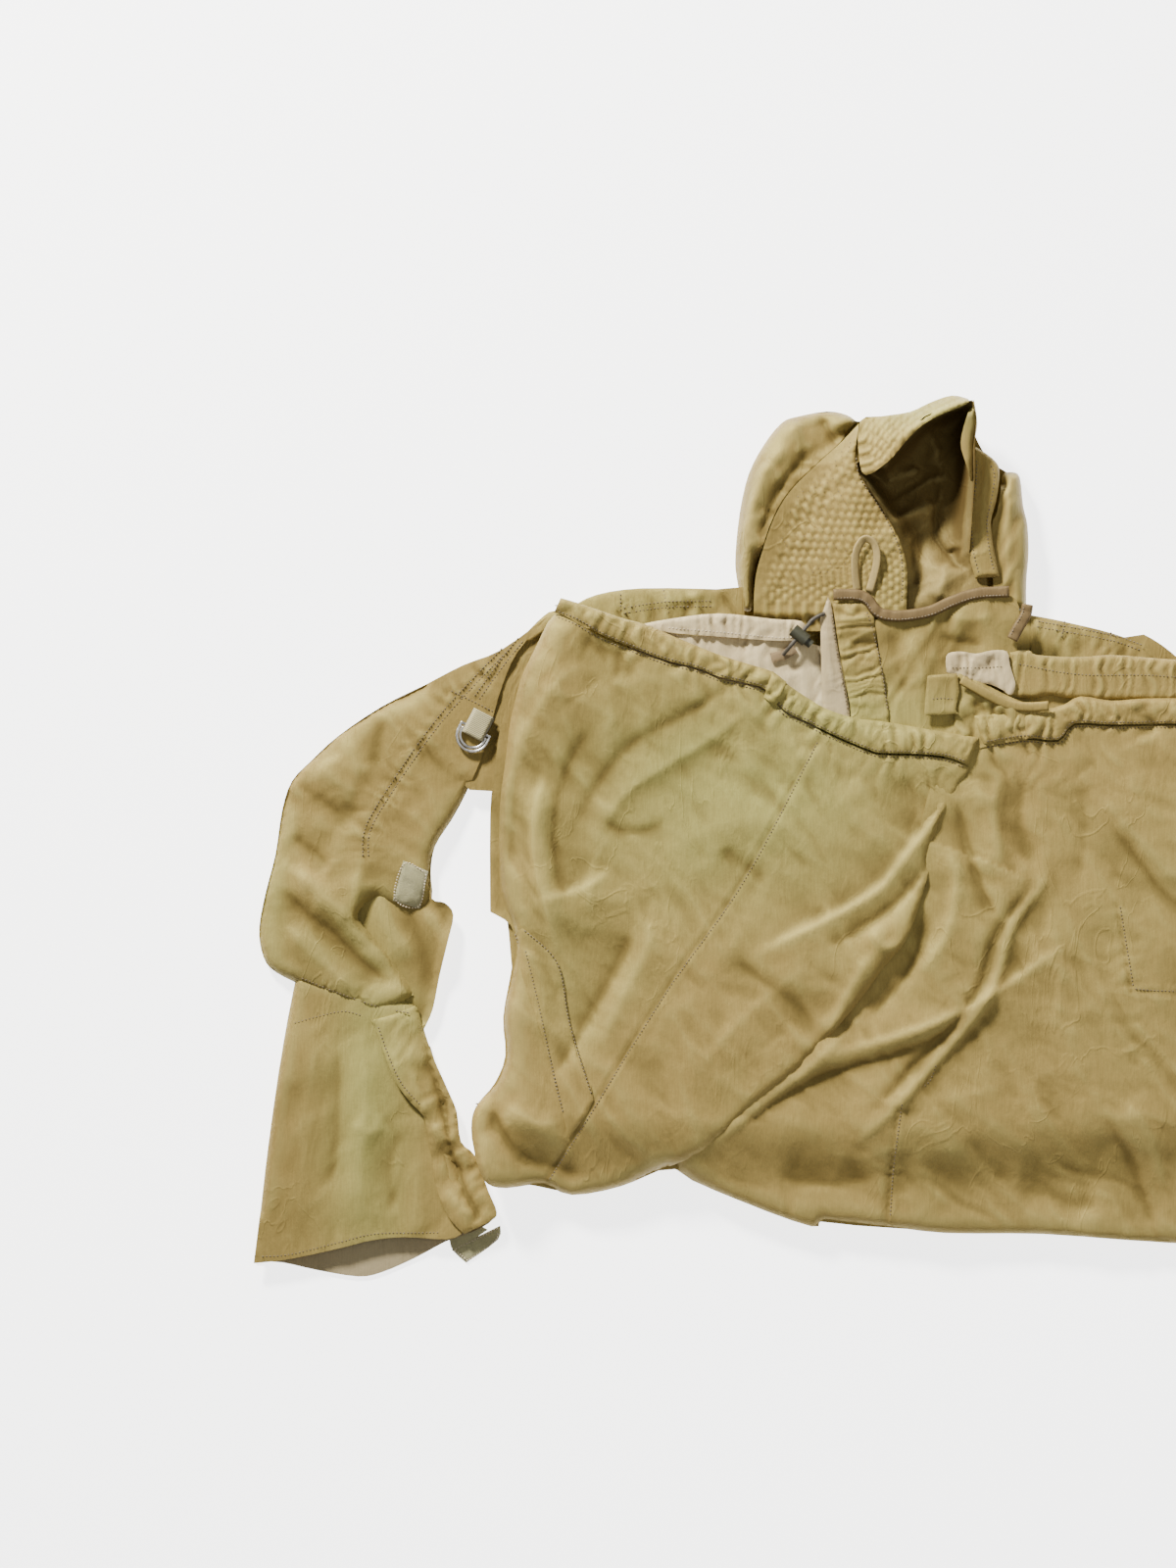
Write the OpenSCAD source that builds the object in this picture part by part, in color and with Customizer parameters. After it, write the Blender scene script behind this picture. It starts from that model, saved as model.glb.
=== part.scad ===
// Hooded work suit laid flat: a hooded jacket on its back, with a pair of overtrousers
// folded at the knee and laid across its chest. Millimetres, +Z up, resting on Z = 0.
// X runs across the chest and +Y points from the hem towards the hood.

/* [Fabric] */
// Thickness of one sewn fabric panel with its loft
cloth = 2; // [1.5:0.25:2.5]
// Height of the hollow between the two layers of a sleeve, leg or body
hollow = 7; // [6:0.5:7.5]
// Air between layers that lie on each other
clear = 1; // [0.5:0.1:1]

/* [Waist] */
// Thickness of the elastic inside the waist casing
elastic = 1.4; // [1:0.1:1.6]
// Width of the bound edge of the bib
binding_w = 11; // [9:1:12]
// Thickness of the belt loop's folded cloth
belt_loop_t = 1.6; // [1:0.1:2]

/* [Hardware] */
// Width of the webbing that holds the two rings
webbing_w = 20; // [18:1:20]
// Diameter of the ring wire
ring_wire = 2.6; // [2:0.1:2.8]
// Gap between the webbing's edge and the smaller ring
ring_gap = 0.4; // [0.2:0.1:0.6]
// Length of the closed front zip
zip_l = 440; // [380:10:450]
// Width of the zip's chain of teeth
chain_w = 6; // [5:0.5:7]
// Diameter of the cord lock's barrel
lock_d = 12; // [11:0.5:13]
// Diameter of the waist drawcord
cord_d = 4; // [3:0.5:4]

/* [Hidden] */
$fn = 48;

// Levels of the layers, from the floor up
jacket_top_z = cloth + hollow;
jacket_trim_z = jacket_top_z + cloth + clear / 2;
sleeve_top_z = jacket_top_z + cloth + clear;
sleeve_trim_z = sleeve_top_z + cloth + clear / 2;
legs_z = jacket_trim_z + 7;
legs_t = 8;
trousers_back_z = legs_z + legs_t + clear;
trousers_right_z = trousers_back_z + cloth + hollow;
trousers_left_z = trousers_right_z + cloth + clear;
bib_z = trousers_right_z - cloth;
casing_gap = elastic + 0.8;
hood_side_t = 22;
hood_band_z = cloth * 2 + clear * 2 + hood_side_t;
hood_band_t = 5;
hood_rim_z = hood_band_z + hood_band_t + clear;

// The middle of the whole layout, which becomes the origin
centre_x = 26;
centre_y = -13.1;

// Where the right sleeve lies: the left one mirrored, turned and moved
right_turn = 8;
right_shift = [3, -97];

// Catmull-Rom curve through closed points; a point given twice is a sharp corner
function cubic(a, b, c, d, t) =
    0.5 * (2 * b + (c - a) * t + (2 * a - 5 * b + 4 * c - d) * t * t + (3 * b - a - 3 * c + d) * t * t * t);
function smooth(p, n = 3) = [
    for (i = [0 : len(p) - 1])
        let (
            a = p[(i + len(p) - 1) % len(p)],
            b = p[i],
            c = p[(i + 1) % len(p)],
            d = p[(i + 2) % len(p)]
        )
        if (b != c)
            for (k = [0 : n - 1]) cubic(a, b, c, d, k / n)
];
// Open curve through points, ends included
function smooth_open(p, n = 3) = concat([
    for (i = [0 : len(p) - 2])
        let (
            a = p[max(i - 1, 0)],
            d = p[min(i + 2, len(p) - 1)]
        )
        for (k = [0 : n - 1]) cubic(a, p[i], p[i + 1], d, k / n)
], [p[len(p) - 1]]);
function unit(v) = v / norm(v);
function side_of(p, i) =
    let (d = unit(p[min(i + 1, len(p) - 1)] - p[max(i - 1, 0)]))
    [-d[1], d[0]];
function reversed(p) = [for (i = [len(p) - 1 : -1 : 0]) p[i]];
// A strip of cloth of one width along an open path
function strip(p, w) = concat(
    [for (i = [0 : len(p) - 1]) p[i] + side_of(p, i) * w / 2],
    reversed([for (i = [0 : len(p) - 1]) p[i] - side_of(p, i) * w / 2])
);
// The closed outline between two open edges that run the same way
function between(upper, lower) = concat(upper, reversed(lower));

module laid() translate([-centre_x, -centre_y, 0]) children();
module right_side() translate(right_shift) rotate(right_turn) mirror([1, 0, 0]) children();
module panel(outline, z, t = cloth) translate([0, 0, z]) linear_extrude(t) polygon(outline);

// ---- Jacket body ----
jacket_left_edge = [
    [-150, 229], [-150, 229], [-220, 230], [-262, 224], [-286, 212], [-304, 198], [-330, 168],
    [-344, 138], [-354, 106], [-362, 78], [-379, 44], [-379, 44], [-342, 42], [-342, 42],
    [-335, 0], [-330, -120], [-322, -250], [-322, -250]
];
jacket_right_edge = [
    [322, -250], [322, -250], [330, -120], [333, -30], [336, 20], [330, 62], [312, 98], [290, 128],
    [266, 157], [240, 177], [214, 188], [170, 199], [139, 205], [139, 205]
];
neck_seam_y = 198;
zip_x = 50;
hem_y = -262;
front_gap = 5;

module jacket_back() color([0.70, 0.62, 0.42]) laid()
    panel(smooth(concat(
        jacket_left_edge, [[0, hem_y], jacket_right_edge[0]], jacket_right_edge,
        [[130, neck_seam_y], [130, neck_seam_y], [-130, neck_seam_y], [-130, neck_seam_y]]
    )), 0);
module jacket_front_left() color([0.70, 0.62, 0.42]) laid()
    panel(smooth(concat(
        jacket_left_edge,
        [for (y = [hem_y, hem_y, neck_seam_y, neck_seam_y]) [zip_x - front_gap, y]],
        [[-130, neck_seam_y], [-130, neck_seam_y]]
    )), jacket_top_z);
module jacket_front_right() color([0.70, 0.62, 0.42]) laid()
    panel(smooth(concat(
        [[zip_x + front_gap, hem_y], [zip_x + front_gap, hem_y]], jacket_right_edge,
        [[zip_x + front_gap, neck_seam_y], [zip_x + front_gap, neck_seam_y]]
    )), jacket_top_z);
module shoulder_yokes() color([0.68, 0.62, 0.41]) laid() {
    panel(smooth([
        [-288, 209], [-262, 222], [-220, 228], [-152, 227], [-152, 227], [-152, 180], [-152, 180],
        [-240, 182], [-292, 195], [-292, 195]
    ]), jacket_trim_z);
    panel(smooth([
        [138, 202], [138, 202], [170, 196], [214, 185], [240, 174], [262, 157], [262, 157],
        [258, 120], [258, 120], [138, 140], [138, 140]
    ]), jacket_trim_z);
}

// ---- Sleeves: the left one as it lies, and its mirror ----
arm_outer = [
    [-307, 204], [-307, 204], [-350, 173], [-385, 159], [-420, 141], [-460, 121], [-500, 94],
    [-525, 71], [-543, 52], [-552, 25], [-558, -15], [-567, -50], [-573, -82], [-571, -104],
    [-563, -120]
];
arm_inner = [
    [-414, -56], [-415, -32], [-411, -8], [-396, 16], [-384, 38], [-368, 74], [-359, 106],
    [-349, 140], [-335, 171]
];
elbow_fold = [
    [-541, -133], [-502, -149], [-480, -155], [-471, -161], [-450, -156], [-431, -145]
];
module sleeve_under_shape() panel(smooth(concat(
    arm_outer,
    [
        [-545, -127], [-500, -143], [-455, -160], [-421, -176], [-421, -176], [-413, -158], [-407, -128],
        [-399, -95], [-394, -71], [-402, -60]
    ],
    arm_inner
)), 0);
module sleeve_top_shape() panel(smooth(concat(
    arm_outer, elbow_fold,
    [
        [-431, -145], [-445, -119], [-462, -97], [-482, -75], [-475, -62], [-455, -62], [-427, -70]
    ],
    arm_inner
)), sleeve_top_z);
module cuff_under_shape() panel(smooth([
    [-541, -137], [-541, -137], [-500, -153], [-455, -170], [-420, -187], [-411, -207], [-400, -231],
    [-392, -252], [-388, -280], [-377, -292], [-364, -322], [-356, -344], [-362, -356],
    [-385, -367], [-402, -373], [-430, -388], [-460, -401], [-482, -405], [-520, -399],
    [-552, -392], [-577, -391], [-577, -391], [-570, -330], [-562, -265], [-551, -190]
]), 0);
module cuff_top_shape() panel(smooth([
    [-539, -127], [-539, -127], [-500, -133], [-450, -147], [-426, -160], [-417, -200], [-404, -245],
    [-396, -290], [-382, -328], [-372, -350], [-384, -363], [-400, -370], [-440, -368],
    [-470, -371], [-490, -376], [-520, -383], [-550, -389], [-578, -392], [-578, -392],
    [-572, -345], [-565, -285], [-555, -215], [-546, -165]
]), jacket_top_z);
module cuff_fold_shape() panel(smooth([
    [-470, -168], [-470, -168], [-450, -163], [-428, -154], [-428, -154], [-419, -184], [-411, -206],
    [-400, -231], [-391, -252], [-387, -280], [-374, -293], [-362, -325], [-354, -345],
    [-360, -353], [-384, -365], [-384, -365], [-396, -353], [-404, -338], [-411, -318],
    [-414, -298], [-417, -276], [-422, -256], [-433, -244], [-447, -225], [-457, -200], [-466, -176]
]), sleeve_top_z);
module sleeve_left_under() color([0.64, 0.56, 0.36]) laid() sleeve_under_shape();
module sleeve_left_top() color([0.70, 0.62, 0.42]) laid() sleeve_top_shape();
module cuff_left_under() color([0.72, 0.64, 0.47]) laid() cuff_under_shape();
module cuff_left_top() color([0.60, 0.53, 0.33]) laid() cuff_top_shape();
module cuff_left_fold() color([0.68, 0.63, 0.41]) laid() cuff_fold_shape();
module sleeve_right_under() color([0.64, 0.56, 0.36]) laid() right_side() sleeve_under_shape();
module sleeve_right_top() color([0.70, 0.62, 0.42]) laid() right_side() sleeve_top_shape();
module cuff_right_under() color([0.72, 0.64, 0.47]) laid() right_side() cuff_under_shape();
module cuff_right_top() color([0.60, 0.53, 0.33]) laid() right_side() cuff_top_shape();
module cuff_right_fold() color([0.68, 0.63, 0.41]) laid() right_side() cuff_fold_shape();

// Soft side of a touch fastener, sewn on the forearm
module patch_shape()
    panel([[-440, -21], [-417, -31], [-425, -66], [-450, -58]], sleeve_trim_z, 1.5);
module elbow_patches() color([0.74, 0.72, 0.60]) laid() {
    patch_shape();
    right_side() patch_shape();
}

// ---- Webbing tab with two nested rings ----
tab_at = [-374, 98];
tab_turn = -117.6;
wire_r = ring_wire / 2;
bar_z = sleeve_trim_z + 4;
outer_bar_u = -1.8;
inner_bar_u = 1.8;
inner_half_w = webbing_w / 2 + ring_gap + wire_r;
outer_half_w = inner_half_w + ring_wire + ring_gap;
slot_r = wire_r + 0.7;
web_t = 1.5;
module tab_frame() translate([tab_at[0], tab_at[1], bar_z]) rotate(tab_turn) children();
// u runs out along the rings, v across the webbing; the strap folds round both bars
module tab_shape() tab_frame() rotate([90, 0, 0]) linear_extrude(webbing_w, center = true) difference() {
    union() {
        translate([-18, -slot_r - web_t]) square([18 + inner_bar_u + 0.6, 2 * (slot_r + web_t)]);
        translate([inner_bar_u + 0.6, 0]) circle(slot_r + web_t);
    }
    translate([-7, -slot_r]) square([7 + inner_bar_u + 0.6, 2 * slot_r]);
    translate([inner_bar_u + 0.6, 0]) circle(slot_r);
}
module ring_tabs() color([0.66, 0.66, 0.55]) laid() {
    tab_shape();
    right_side() tab_shape();
}
// A D of round wire: a straight bar, two short arms and a half-circle bow
module d_ring(u, half_w, arm) tab_frame() translate([u, 0, 0]) {
    rotate([90, 0, 0]) cylinder(r = wire_r, h = 2 * half_w, center = true);
    for (s = [-1, 1]) translate([0, s * half_w, 0]) {
        sphere(wire_r);
        rotate([0, 90, 0]) cylinder(r = wire_r, h = arm);
    }
    translate([arm, 0, 0]) rotate(-90) rotate_extrude(angle = 180) translate([half_w, 0]) circle(wire_r);
}
outer_arm = 6;
inner_arm = 2;
module ring_left_outer() color("silver") laid() d_ring(outer_bar_u, outer_half_w, outer_arm);
module ring_left_inner() color("silver") laid() d_ring(inner_bar_u, inner_half_w, inner_arm);
module ring_right_outer() color("silver") laid() right_side() d_ring(outer_bar_u, outer_half_w, outer_arm);
module ring_right_inner() color("silver") laid() right_side() d_ring(inner_bar_u, inner_half_w, inner_arm);

// Touch-fastener tab that sticks out past the cuff's hem
module cuff_tab_shape() panel(smooth([
    [-396, -380], [-396, -380], [-384, -391], [-379, -390], [-353, -371], [-351, -358], [-351, -358]
]), 0.2, 2.4);
module cuff_tab_left() color([0.68, 0.66, 0.52]) laid() cuff_tab_shape();
module cuff_tab_right() color([0.68, 0.66, 0.52]) laid() right_side() cuff_tab_shape();

// ---- Hood ----
crown_left_edge = [
    [-127, 210], [-127, 210], [-133, 240], [-134, 262], [-130, 300], [-122, 335], [-108, 362],
    [-92, 382], [-78, 388], [-50, 393], [-32, 390], [-23, 384], [-23, 384]
];
band_outer_edge = [
    [-118, 210], [-116, 240], [-109, 266], [-99, 294], [-84, 319], [-59, 344], [-37, 364]
];
band_apex = [-21, 381];
face_left_edge = [
    [22, 210], [23, 240], [19, 264], [10, 285], [0, 300], [-18, 328], [-25, 350]
];
module hood_back() color([0.66, 0.58, 0.38]) laid() panel(smooth(concat(
    crown_left_edge,
    [
        [10, 384], [45, 392], [76, 388], [98, 350], [124, 330], [132, 300], [135, 262], [133, 225],
        [131, 204], [131, 204], [-127, 204], [-127, 204]
    ]
)), 0);
module hood_lining() color([0.55, 0.48, 0.30]) laid() panel(smooth([
    [-16, 326], [4, 341], [18, 358], [36, 374], [58, 386], [64, 366], [62, 350], [74, 325],
    [76, 260], [98, 236], [98, 212], [98, 212], [26, 207], [26, 207], [27, 240], [22, 268],
    [12, 288], [0, 305]
]), cloth + clear);
module hood_crown_left() color([0.68, 0.59, 0.38]) laid()
    panel(
        smooth(between(crown_left_edge, [for (p = band_outer_edge) p + [-1, 0]])),
        cloth + clear, hood_side_t
    );
module hood_crown_right() color([0.68, 0.59, 0.38]) laid() panel(smooth([
    [112, 336], [112, 336], [121, 337], [128, 332], [131, 306], [135, 288], [136, 262], [134, 236],
    [134, 209], [134, 209], [104, 209], [104, 209], [102, 240], [101, 286], [106, 300]
]), cloth + clear, hood_side_t);
module hood_band_left() color([0.60, 0.53, 0.33]) laid() panel(smooth(concat(
    [[-118, 210]], band_outer_edge, [band_apex, band_apex], reversed(face_left_edge), [[22, 210]]
)), hood_band_z, hood_band_t);
module hood_band_top() color([0.62, 0.55, 0.35]) laid() panel(smooth([
    [-20, 383], [0, 387], [25, 391], [45, 400], [64, 406], [79, 403], [79, 403], [76, 397],
    [52, 387], [35, 377], [20, 362], [5, 345], [-16, 332], [-22, 350]
]), hood_rim_z, 28);
module hood_rim_right() color([0.66, 0.58, 0.38]) laid() panel(smooth([
    [84, 402], [84, 402], [87, 380], [84, 360], [83, 325], [75, 345], [71, 362], [76, 384], [81, 396]
]), hood_rim_z, 26);
module hood_chin_tab() color([0.68, 0.60, 0.40]) laid() panel(smooth([
    [83, 357], [91, 356], [105, 345], [108, 334], [105, 310], [100, 290], [103, 265], [108, 240],
    [108, 240], [86, 238], [86, 238], [80, 260], [78, 290], [82, 325]
]), hood_band_z, 4);
// A folded tape sewn to the face band, to hang the suit up by
loop_foot_y = 230;
module hood_hanger_loop() color([0.66, 0.62, 0.44]) laid()
    translate([0, 0, hood_rim_z]) linear_extrude(3) difference() {
        polygon(smooth([
            [-25, loop_foot_y], [-25, loop_foot_y], [-27, 250], [-25, 268], [-17, 277], [-7, 273],
            [-3, 262], [-4, 248], [-11, loop_foot_y], [-11, loop_foot_y]
        ]));
        polygon(smooth([
            [-20, 240], [-22.5, 250], [-21.5, 266], [-17, 272], [-11, 270], [-9, 260], [-10, 248],
            [-15, 240]
        ]));
    }

// ---- Front zip of the jacket, closed ----
zip_top_y = neck_seam_y - 2;
tooth_pitch = 5;
zip_teeth = floor((zip_l - 22) / tooth_pitch);
slider_at = [zip_x, zip_top_y - 8];
chain_t = 1.6;
slider_z = jacket_trim_z + chain_t + 0.3;
slider_t = 1.4;
pull_pin_z = 2.5;
pull_pin_r = 0.6;
pull_t = 1.4;
module zip_tapes() color([0.45, 0.38, 0.26]) laid()
    for (s = [-1, 1]) translate([zip_x + s * 10.6 - 7, zip_top_y - zip_l, jacket_trim_z])
        cube([14, zip_l, 1]);
module zip_chain() color([0.70, 0.66, 0.52]) laid() translate([zip_x, zip_top_y - zip_l + 6, jacket_trim_z])
    linear_extrude(chain_t) polygon(concat(
        [for (i = [0 : zip_teeth], s = [0, 1]) [
            (chain_w / 2 - 0.8 * s), (i + 0.5 * s) * tooth_pitch
        ]],
        reversed([for (i = [0 : zip_teeth], s = [0, 1]) [
            -(chain_w / 2 - 0.8 * s), (i + 0.5 * s) * tooth_pitch
        ]])
    ));
module zip_slider() color("silver") laid() translate([slider_at[0], slider_at[1], slider_z]) {
    linear_extrude(slider_t) polygon([[-4.5, 6], [4.5, 6], [3.4, -6], [-3.4, -6]]);
    for (s = [-1, 1]) translate([s * 2.4 - 0.7, -2, slider_t]) cube([1.4, 4, 2.2]);
    translate([0, 0, pull_pin_z]) rotate([0, 90, 0]) cylinder(r = pull_pin_r, h = 6.2, center = true);
}
pull_pin_at = [slider_at[0], slider_at[1], slider_z + pull_pin_z];
module zip_pull() color("silver") laid() translate(pull_pin_at) difference() {
    union() {
        rotate([0, 90, 0]) cylinder(r = pull_pin_r + 0.35, h = 3, center = true);
        translate([-1.5, 0, -pull_t / 2]) cube([3, 4, pull_t]);
        translate([-3.5, 3.5, -pull_t / 2]) cube([7, 15, pull_t]);
        translate([0, 18.5, -pull_t / 2]) cylinder(r = 3.5, h = pull_t);
    }
    rotate([0, 90, 0]) cylinder(r = pull_pin_r + 0.05, h = 4, center = true);
    translate([0, 17, -pull_t]) cylinder(r = 1.6, h = 2 * pull_t);
}

// ---- Trousers, folded at the knee so that the lower legs lie underneath ----
module leg_left_folded() color([0.62, 0.54, 0.34]) laid() panel(smooth([
    [-330, 150], [-330, 150], [-345, 60], [-350, -20], [-340, -120], [-344, -200], [-366, -255],
    [-362, -305], [-330, -312], [-285, -320], [-235, -314], [-190, -300], [-120, -325], [-70, -345],
    [-60, -300], [-45, -150], [-60, 150], [-60, 150]
]), legs_z, legs_t);
module leg_right_folded() color([0.62, 0.54, 0.34]) laid() panel(smooth([
    [60, 140], [60, 140], [-20, -100], [-50, -300], [-40, -345], [60, -356], [150, -357],
    [262, -364], [320, -366], [366, -360], [402, -338], [416, -300], [420, -240], [410, -135],
    [372, -60], [325, -12], [306, 50], [304, 126], [304, 126]
]), legs_z, legs_t);
module trousers_back() color([0.64, 0.57, 0.37]) laid() panel(smooth([
    [-301, 196], [-301, 196], [-320, 172], [-336, 142], [-350, 104], [-356, 60], [-360, 20],
    [-360, -68], [-360, -68], [-341, -80], [-338, -100], [-341, -125], [-348, -165], [-346, -200],
    [-356, -226], [-371, -244], [-377, -260], [-375, -285], [-362, -317], [-330, -318], [-285, -326],
    [-235, -318], [-190, -305], [-130, -333], [-60, -353], [60, -362], [150, -363], [262, -371],
    [322, -373], [370, -367], [409, -344], [429, -300], [431, -240], [424, -160], [408, -95],
    [375, -45], [335, -5], [317, 45], [318, 100], [322, 128], [322, 128], [300, 137], [265, 141], [200, 138],
    [140, 138],
    [60, 130], [-55, 140], [-62, 178], [-62, 178], [-175, 180], [-215, 186]
]), trousers_back_z);
lining_z = trousers_back_z + cloth + clear / 2;
module trousers_lining() color([0.80, 0.70, 0.56]) laid() panel(smooth([
    [-214, 182], [-175, 178], [-64, 176], [-64, 176], [-60, 100], [-60, 100], [-215, 120], [-240, 160]
]), lining_z, 1);

stitch_left = [
    [-301, 207], [-280, 199], [-255, 185], [-220, 171], [-195, 162], [-170, 156], [-150, 148],
    [-125, 142], [-107, 136], [-90, 117], [-70, 107], [-50, 97], [-30, 88], [-10, 80], [0, 78],
    [35, 77], [60, 74], [78, 67]
];
casing_left_top = [
    [-295, 220], [-278, 215], [-240, 202], [-218, 196], [-180, 180], [-150, 168], [-125, 160],
    [-100, 152], [-86, 140], [-68, 128], [-55, 120], [-40, 114], [-20, 109], [0, 107], [40, 100],
    [88, 92]
];
stitch_right = [
    [92, 86], [130, 92], [161, 90], [176, 105], [210, 104], [260, 105], [292, 104], [318, 101]
];
casing_right_top = [
    [84, 112], [115, 117], [150, 118], [166, 122], [182, 130], [210, 126], [240, 128], [280, 128],
    [304, 126], [320, 122]
];
module trousers_front_left() color([0.70, 0.64, 0.43]) laid() panel(smooth(concat(
    [for (p = stitch_left) p + [0, -2]],
    [
        [79, 62], [64, 38], [50, 10], [40, -40], [22, -92], [0, -120], [-30, -160], [-75, -209],
        [-115, -241], [-160, -285], [-197, -303], [-240, -321], [-285, -329], [-312, -319],
        [-345, -322], [-362, -318], [-370, -305], [-375, -285], [-377, -260], [-370, -243],
        [-355, -226], [-345, -200], [-347, -165], [-340, -125], [-336, -100], [-339, -80],
        [-350, -50], [-352, -20], [-351, 30], [-346, 70], [-341, 110], [-332, 145], [-318, 175]
    ]
)), trousers_left_z);
module trousers_front_right() color([0.69, 0.60, 0.40]) laid() panel(smooth(concat(
    [for (p = stitch_right) p + [0, -2]],
    [
        [316, 50], [334, -4], [374, -44], [407, -94], [424, -160], [431, -240], [430, -300], [410, -345],
        [370, -368], [322, -374], [262, -373], [150, -365], [60, -364], [0, -357], [-52, -352],
        [-64, -358], [-128, -335], [-188, -306], [-168, -280], [-120, -225], [-70, -170], [-20, -110],
        [10, -60], [30, -10], [42, 40], [60, 78]
    ]
)), trousers_right_z);
// Slanted pocket edge, topstitched down both sides
module pocket_welt() color([0.64, 0.56, 0.36]) laid() panel(smooth([
    [-334, -80], [-334, -80], [-318, -92], [-297, -115], [-293, -136], [-287, -166], [-280, -200],
    [-265, -240], [-288, -275], [-288, -275], [-300, -224], [-310, -190], [-322, -150], [-333, -116]
]), trousers_left_z + cloth + clear / 2, 1.2);

// A waist casing is two layers with the elastic between them
module casing(outline, z) {
    panel(outline, z, cloth);
    panel(outline, z + cloth + casing_gap, cloth);
}
casing_left_z = trousers_left_z - clear / 2;
casing_right_z = trousers_right_z - cloth;
elastic_lift = cloth + 0.4;
module waistband_front_left() color([0.70, 0.64, 0.43]) laid()
    casing(between(smooth_open(casing_left_top), smooth_open(stitch_left)), casing_left_z);
module waistband_front_right() color([0.69, 0.61, 0.41]) laid()
    casing(between(smooth_open(casing_right_top), smooth_open(stitch_right)), casing_right_z);
module waist_elastics() color([0.90, 0.88, 0.82]) laid() {
    panel(between(
        [for (p = smooth_open(casing_left_top, 1)) p + [-4, -6]],
        [for (p = smooth_open(stitch_left, 1)) p + [0, 6]]
    ), casing_left_z + elastic_lift, elastic);
    panel(between(
        [for (p = smooth_open(casing_right_top, 1)) p + [2, -4]],
        [for (p = smooth_open(stitch_right, 1)) p + [2, 4]]
    ), casing_right_z + elastic_lift, elastic);
}
module waistband_back_left() color([0.85, 0.76, 0.62]) laid() panel(smooth([
    [-222, 195], [-195, 201], [-150, 206], [-100, 201], [-74, 199], [-71, 189], [-74, 182], [-100, 181],
    [-140, 184], [-180, 187], [-205, 190]
]), trousers_back_z + cloth + clear / 2, 5);
module waistband_back_right() color([0.66, 0.58, 0.39]) laid() panel(smooth([
    [115, 172], [115, 172], [135, 172], [142, 168], [180, 166], [210, 168], [250, 165], [290, 162],
    [322, 156], [322, 156], [324, 136], [324, 136], [290, 142], [200, 143], [165, 145],
    [135, 153], [115, 155], [115, 155]
]), trousers_back_z + cloth + clear, 5);
module waist_lining_end() color([0.88, 0.80, 0.68]) laid() panel(smooth([
    [57, 158], [60, 168], [72, 172], [82, 176], [108, 173], [113, 165], [113, 155], [116, 148],
    [106, 140], [95, 138], [82, 146], [73, 150], [60, 151]
]), trousers_right_z + 0.3, 2);
module waist_end_flap() color([0.69, 0.62, 0.42]) laid() panel(smooth([
    [41, 149], [41, 149], [68, 151], [68, 151], [70, 134], [67, 118], [70, 114], [70, 114], [38, 112],
    [38, 112]
]), trousers_left_z, 3);
tie_path = [[72, 145], [84, 138], [100, 129], [116, 122], [134, 120], [152, 121]];
module waist_tie() color([0.70, 0.62, 0.42]) laid()
    panel(strip(smooth_open(tie_path), 9), trousers_left_z + 4, 1.6);
belt_loop_z = casing_left_z + 2 * cloth + casing_gap + clear / 2;
module belt_loop() color([0.70, 0.64, 0.43]) laid()
    panel([[-101, 153], [-88, 143], [-98, 120], [-109, 129]], belt_loop_z, belt_loop_t);

// Cream facing and the gathered strip beside it
strip_left = [[-46, 215], [-44, 203], [-40, 175], [-34, 145], [-28, 112]];
strip_right = [[-15, 216], [-8, 203], [-5, 180], [0, 150], [5, 120], [6, 112]];
module fly_facing() color([0.86, 0.80, 0.68]) laid() panel(concat(
    [[-50, 221]], smooth_open([for (p = strip_left) p + [-1, 0]]), [[-54, 112], [-56, 150], [-57, 200]]
), bib_z);
module fly_gathered_strip() color([0.66, 0.58, 0.38]) laid()
    panel(between(smooth_open(strip_right), smooth_open(strip_left)), bib_z);
binding_path = [
    [-45, 223], [-25, 223], [-14, 219], [-5, 208], [6, 204], [22, 204], [44, 208], [64, 217],
    [86, 224], [116, 226]
];
module bib() color([0.68, 0.59, 0.39]) laid() panel(concat(
    smooth_open([for (p = [for (i = [4 : 9]) binding_path[i]]) p + [0, -7.5]]),
    smooth_open([[124, 206], [120, 188], [124, 178]]),
    [[112, 178], [60, 178], [55, 160], [38, 152], [36, 112], [7.5, 112]],
    smooth_open([for (i = [4 : -1 : 1]) strip_right[i] + [1, 0]])
), bib_z);
binding_end_path = [[133, 214], [131, 204], [124, 192], [119, 182]];
module bib_binding() color([0.42, 0.33, 0.22]) laid()
    for (path = [binding_path, binding_end_path])
        panel(strip(smooth_open(path), binding_w), bib_z + cloth + clear / 2, 2);

// ---- Cord lock on the waist drawcord, whose end is sewn to a ribbon ----
lock_at = [-76, 186];
lock_z = trousers_back_z + 14.5;
lock_turn = -40;
lock_l = 16;
lock_wall = 1.7;
button_d = lock_d - 4;
module lock_frame() translate([lock_at[0], lock_at[1], lock_z]) rotate(lock_turn) children();
module cord_lock_barrel() color([0.36, 0.37, 0.28]) laid() lock_frame() difference() {
    rotate([0, 90, 0]) cylinder(d = lock_d, h = lock_l, center = true);
    translate([1, 0, 0]) rotate([0, 90, 0]) cylinder(d = lock_d - 2 * lock_wall, h = lock_l);
    rotate([90, 0, 0]) cylinder(d = cord_d + 1.2, h = lock_d + 2, center = true);
}
module cord_lock_button() color([0.30, 0.31, 0.24]) laid() lock_frame()
    translate([5.5, 0, 0]) rotate([0, 90, 0]) cylinder(d = button_d, h = 8.5);
ribbon_z = trousers_back_z + cloth + 4;
module cord_lock_ribbon() color([0.60, 0.46, 0.30]) laid()
    panel(strip([[-80, 174], [-90, 168], [-102, 165]], 9), ribbon_z, 1.2);
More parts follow.
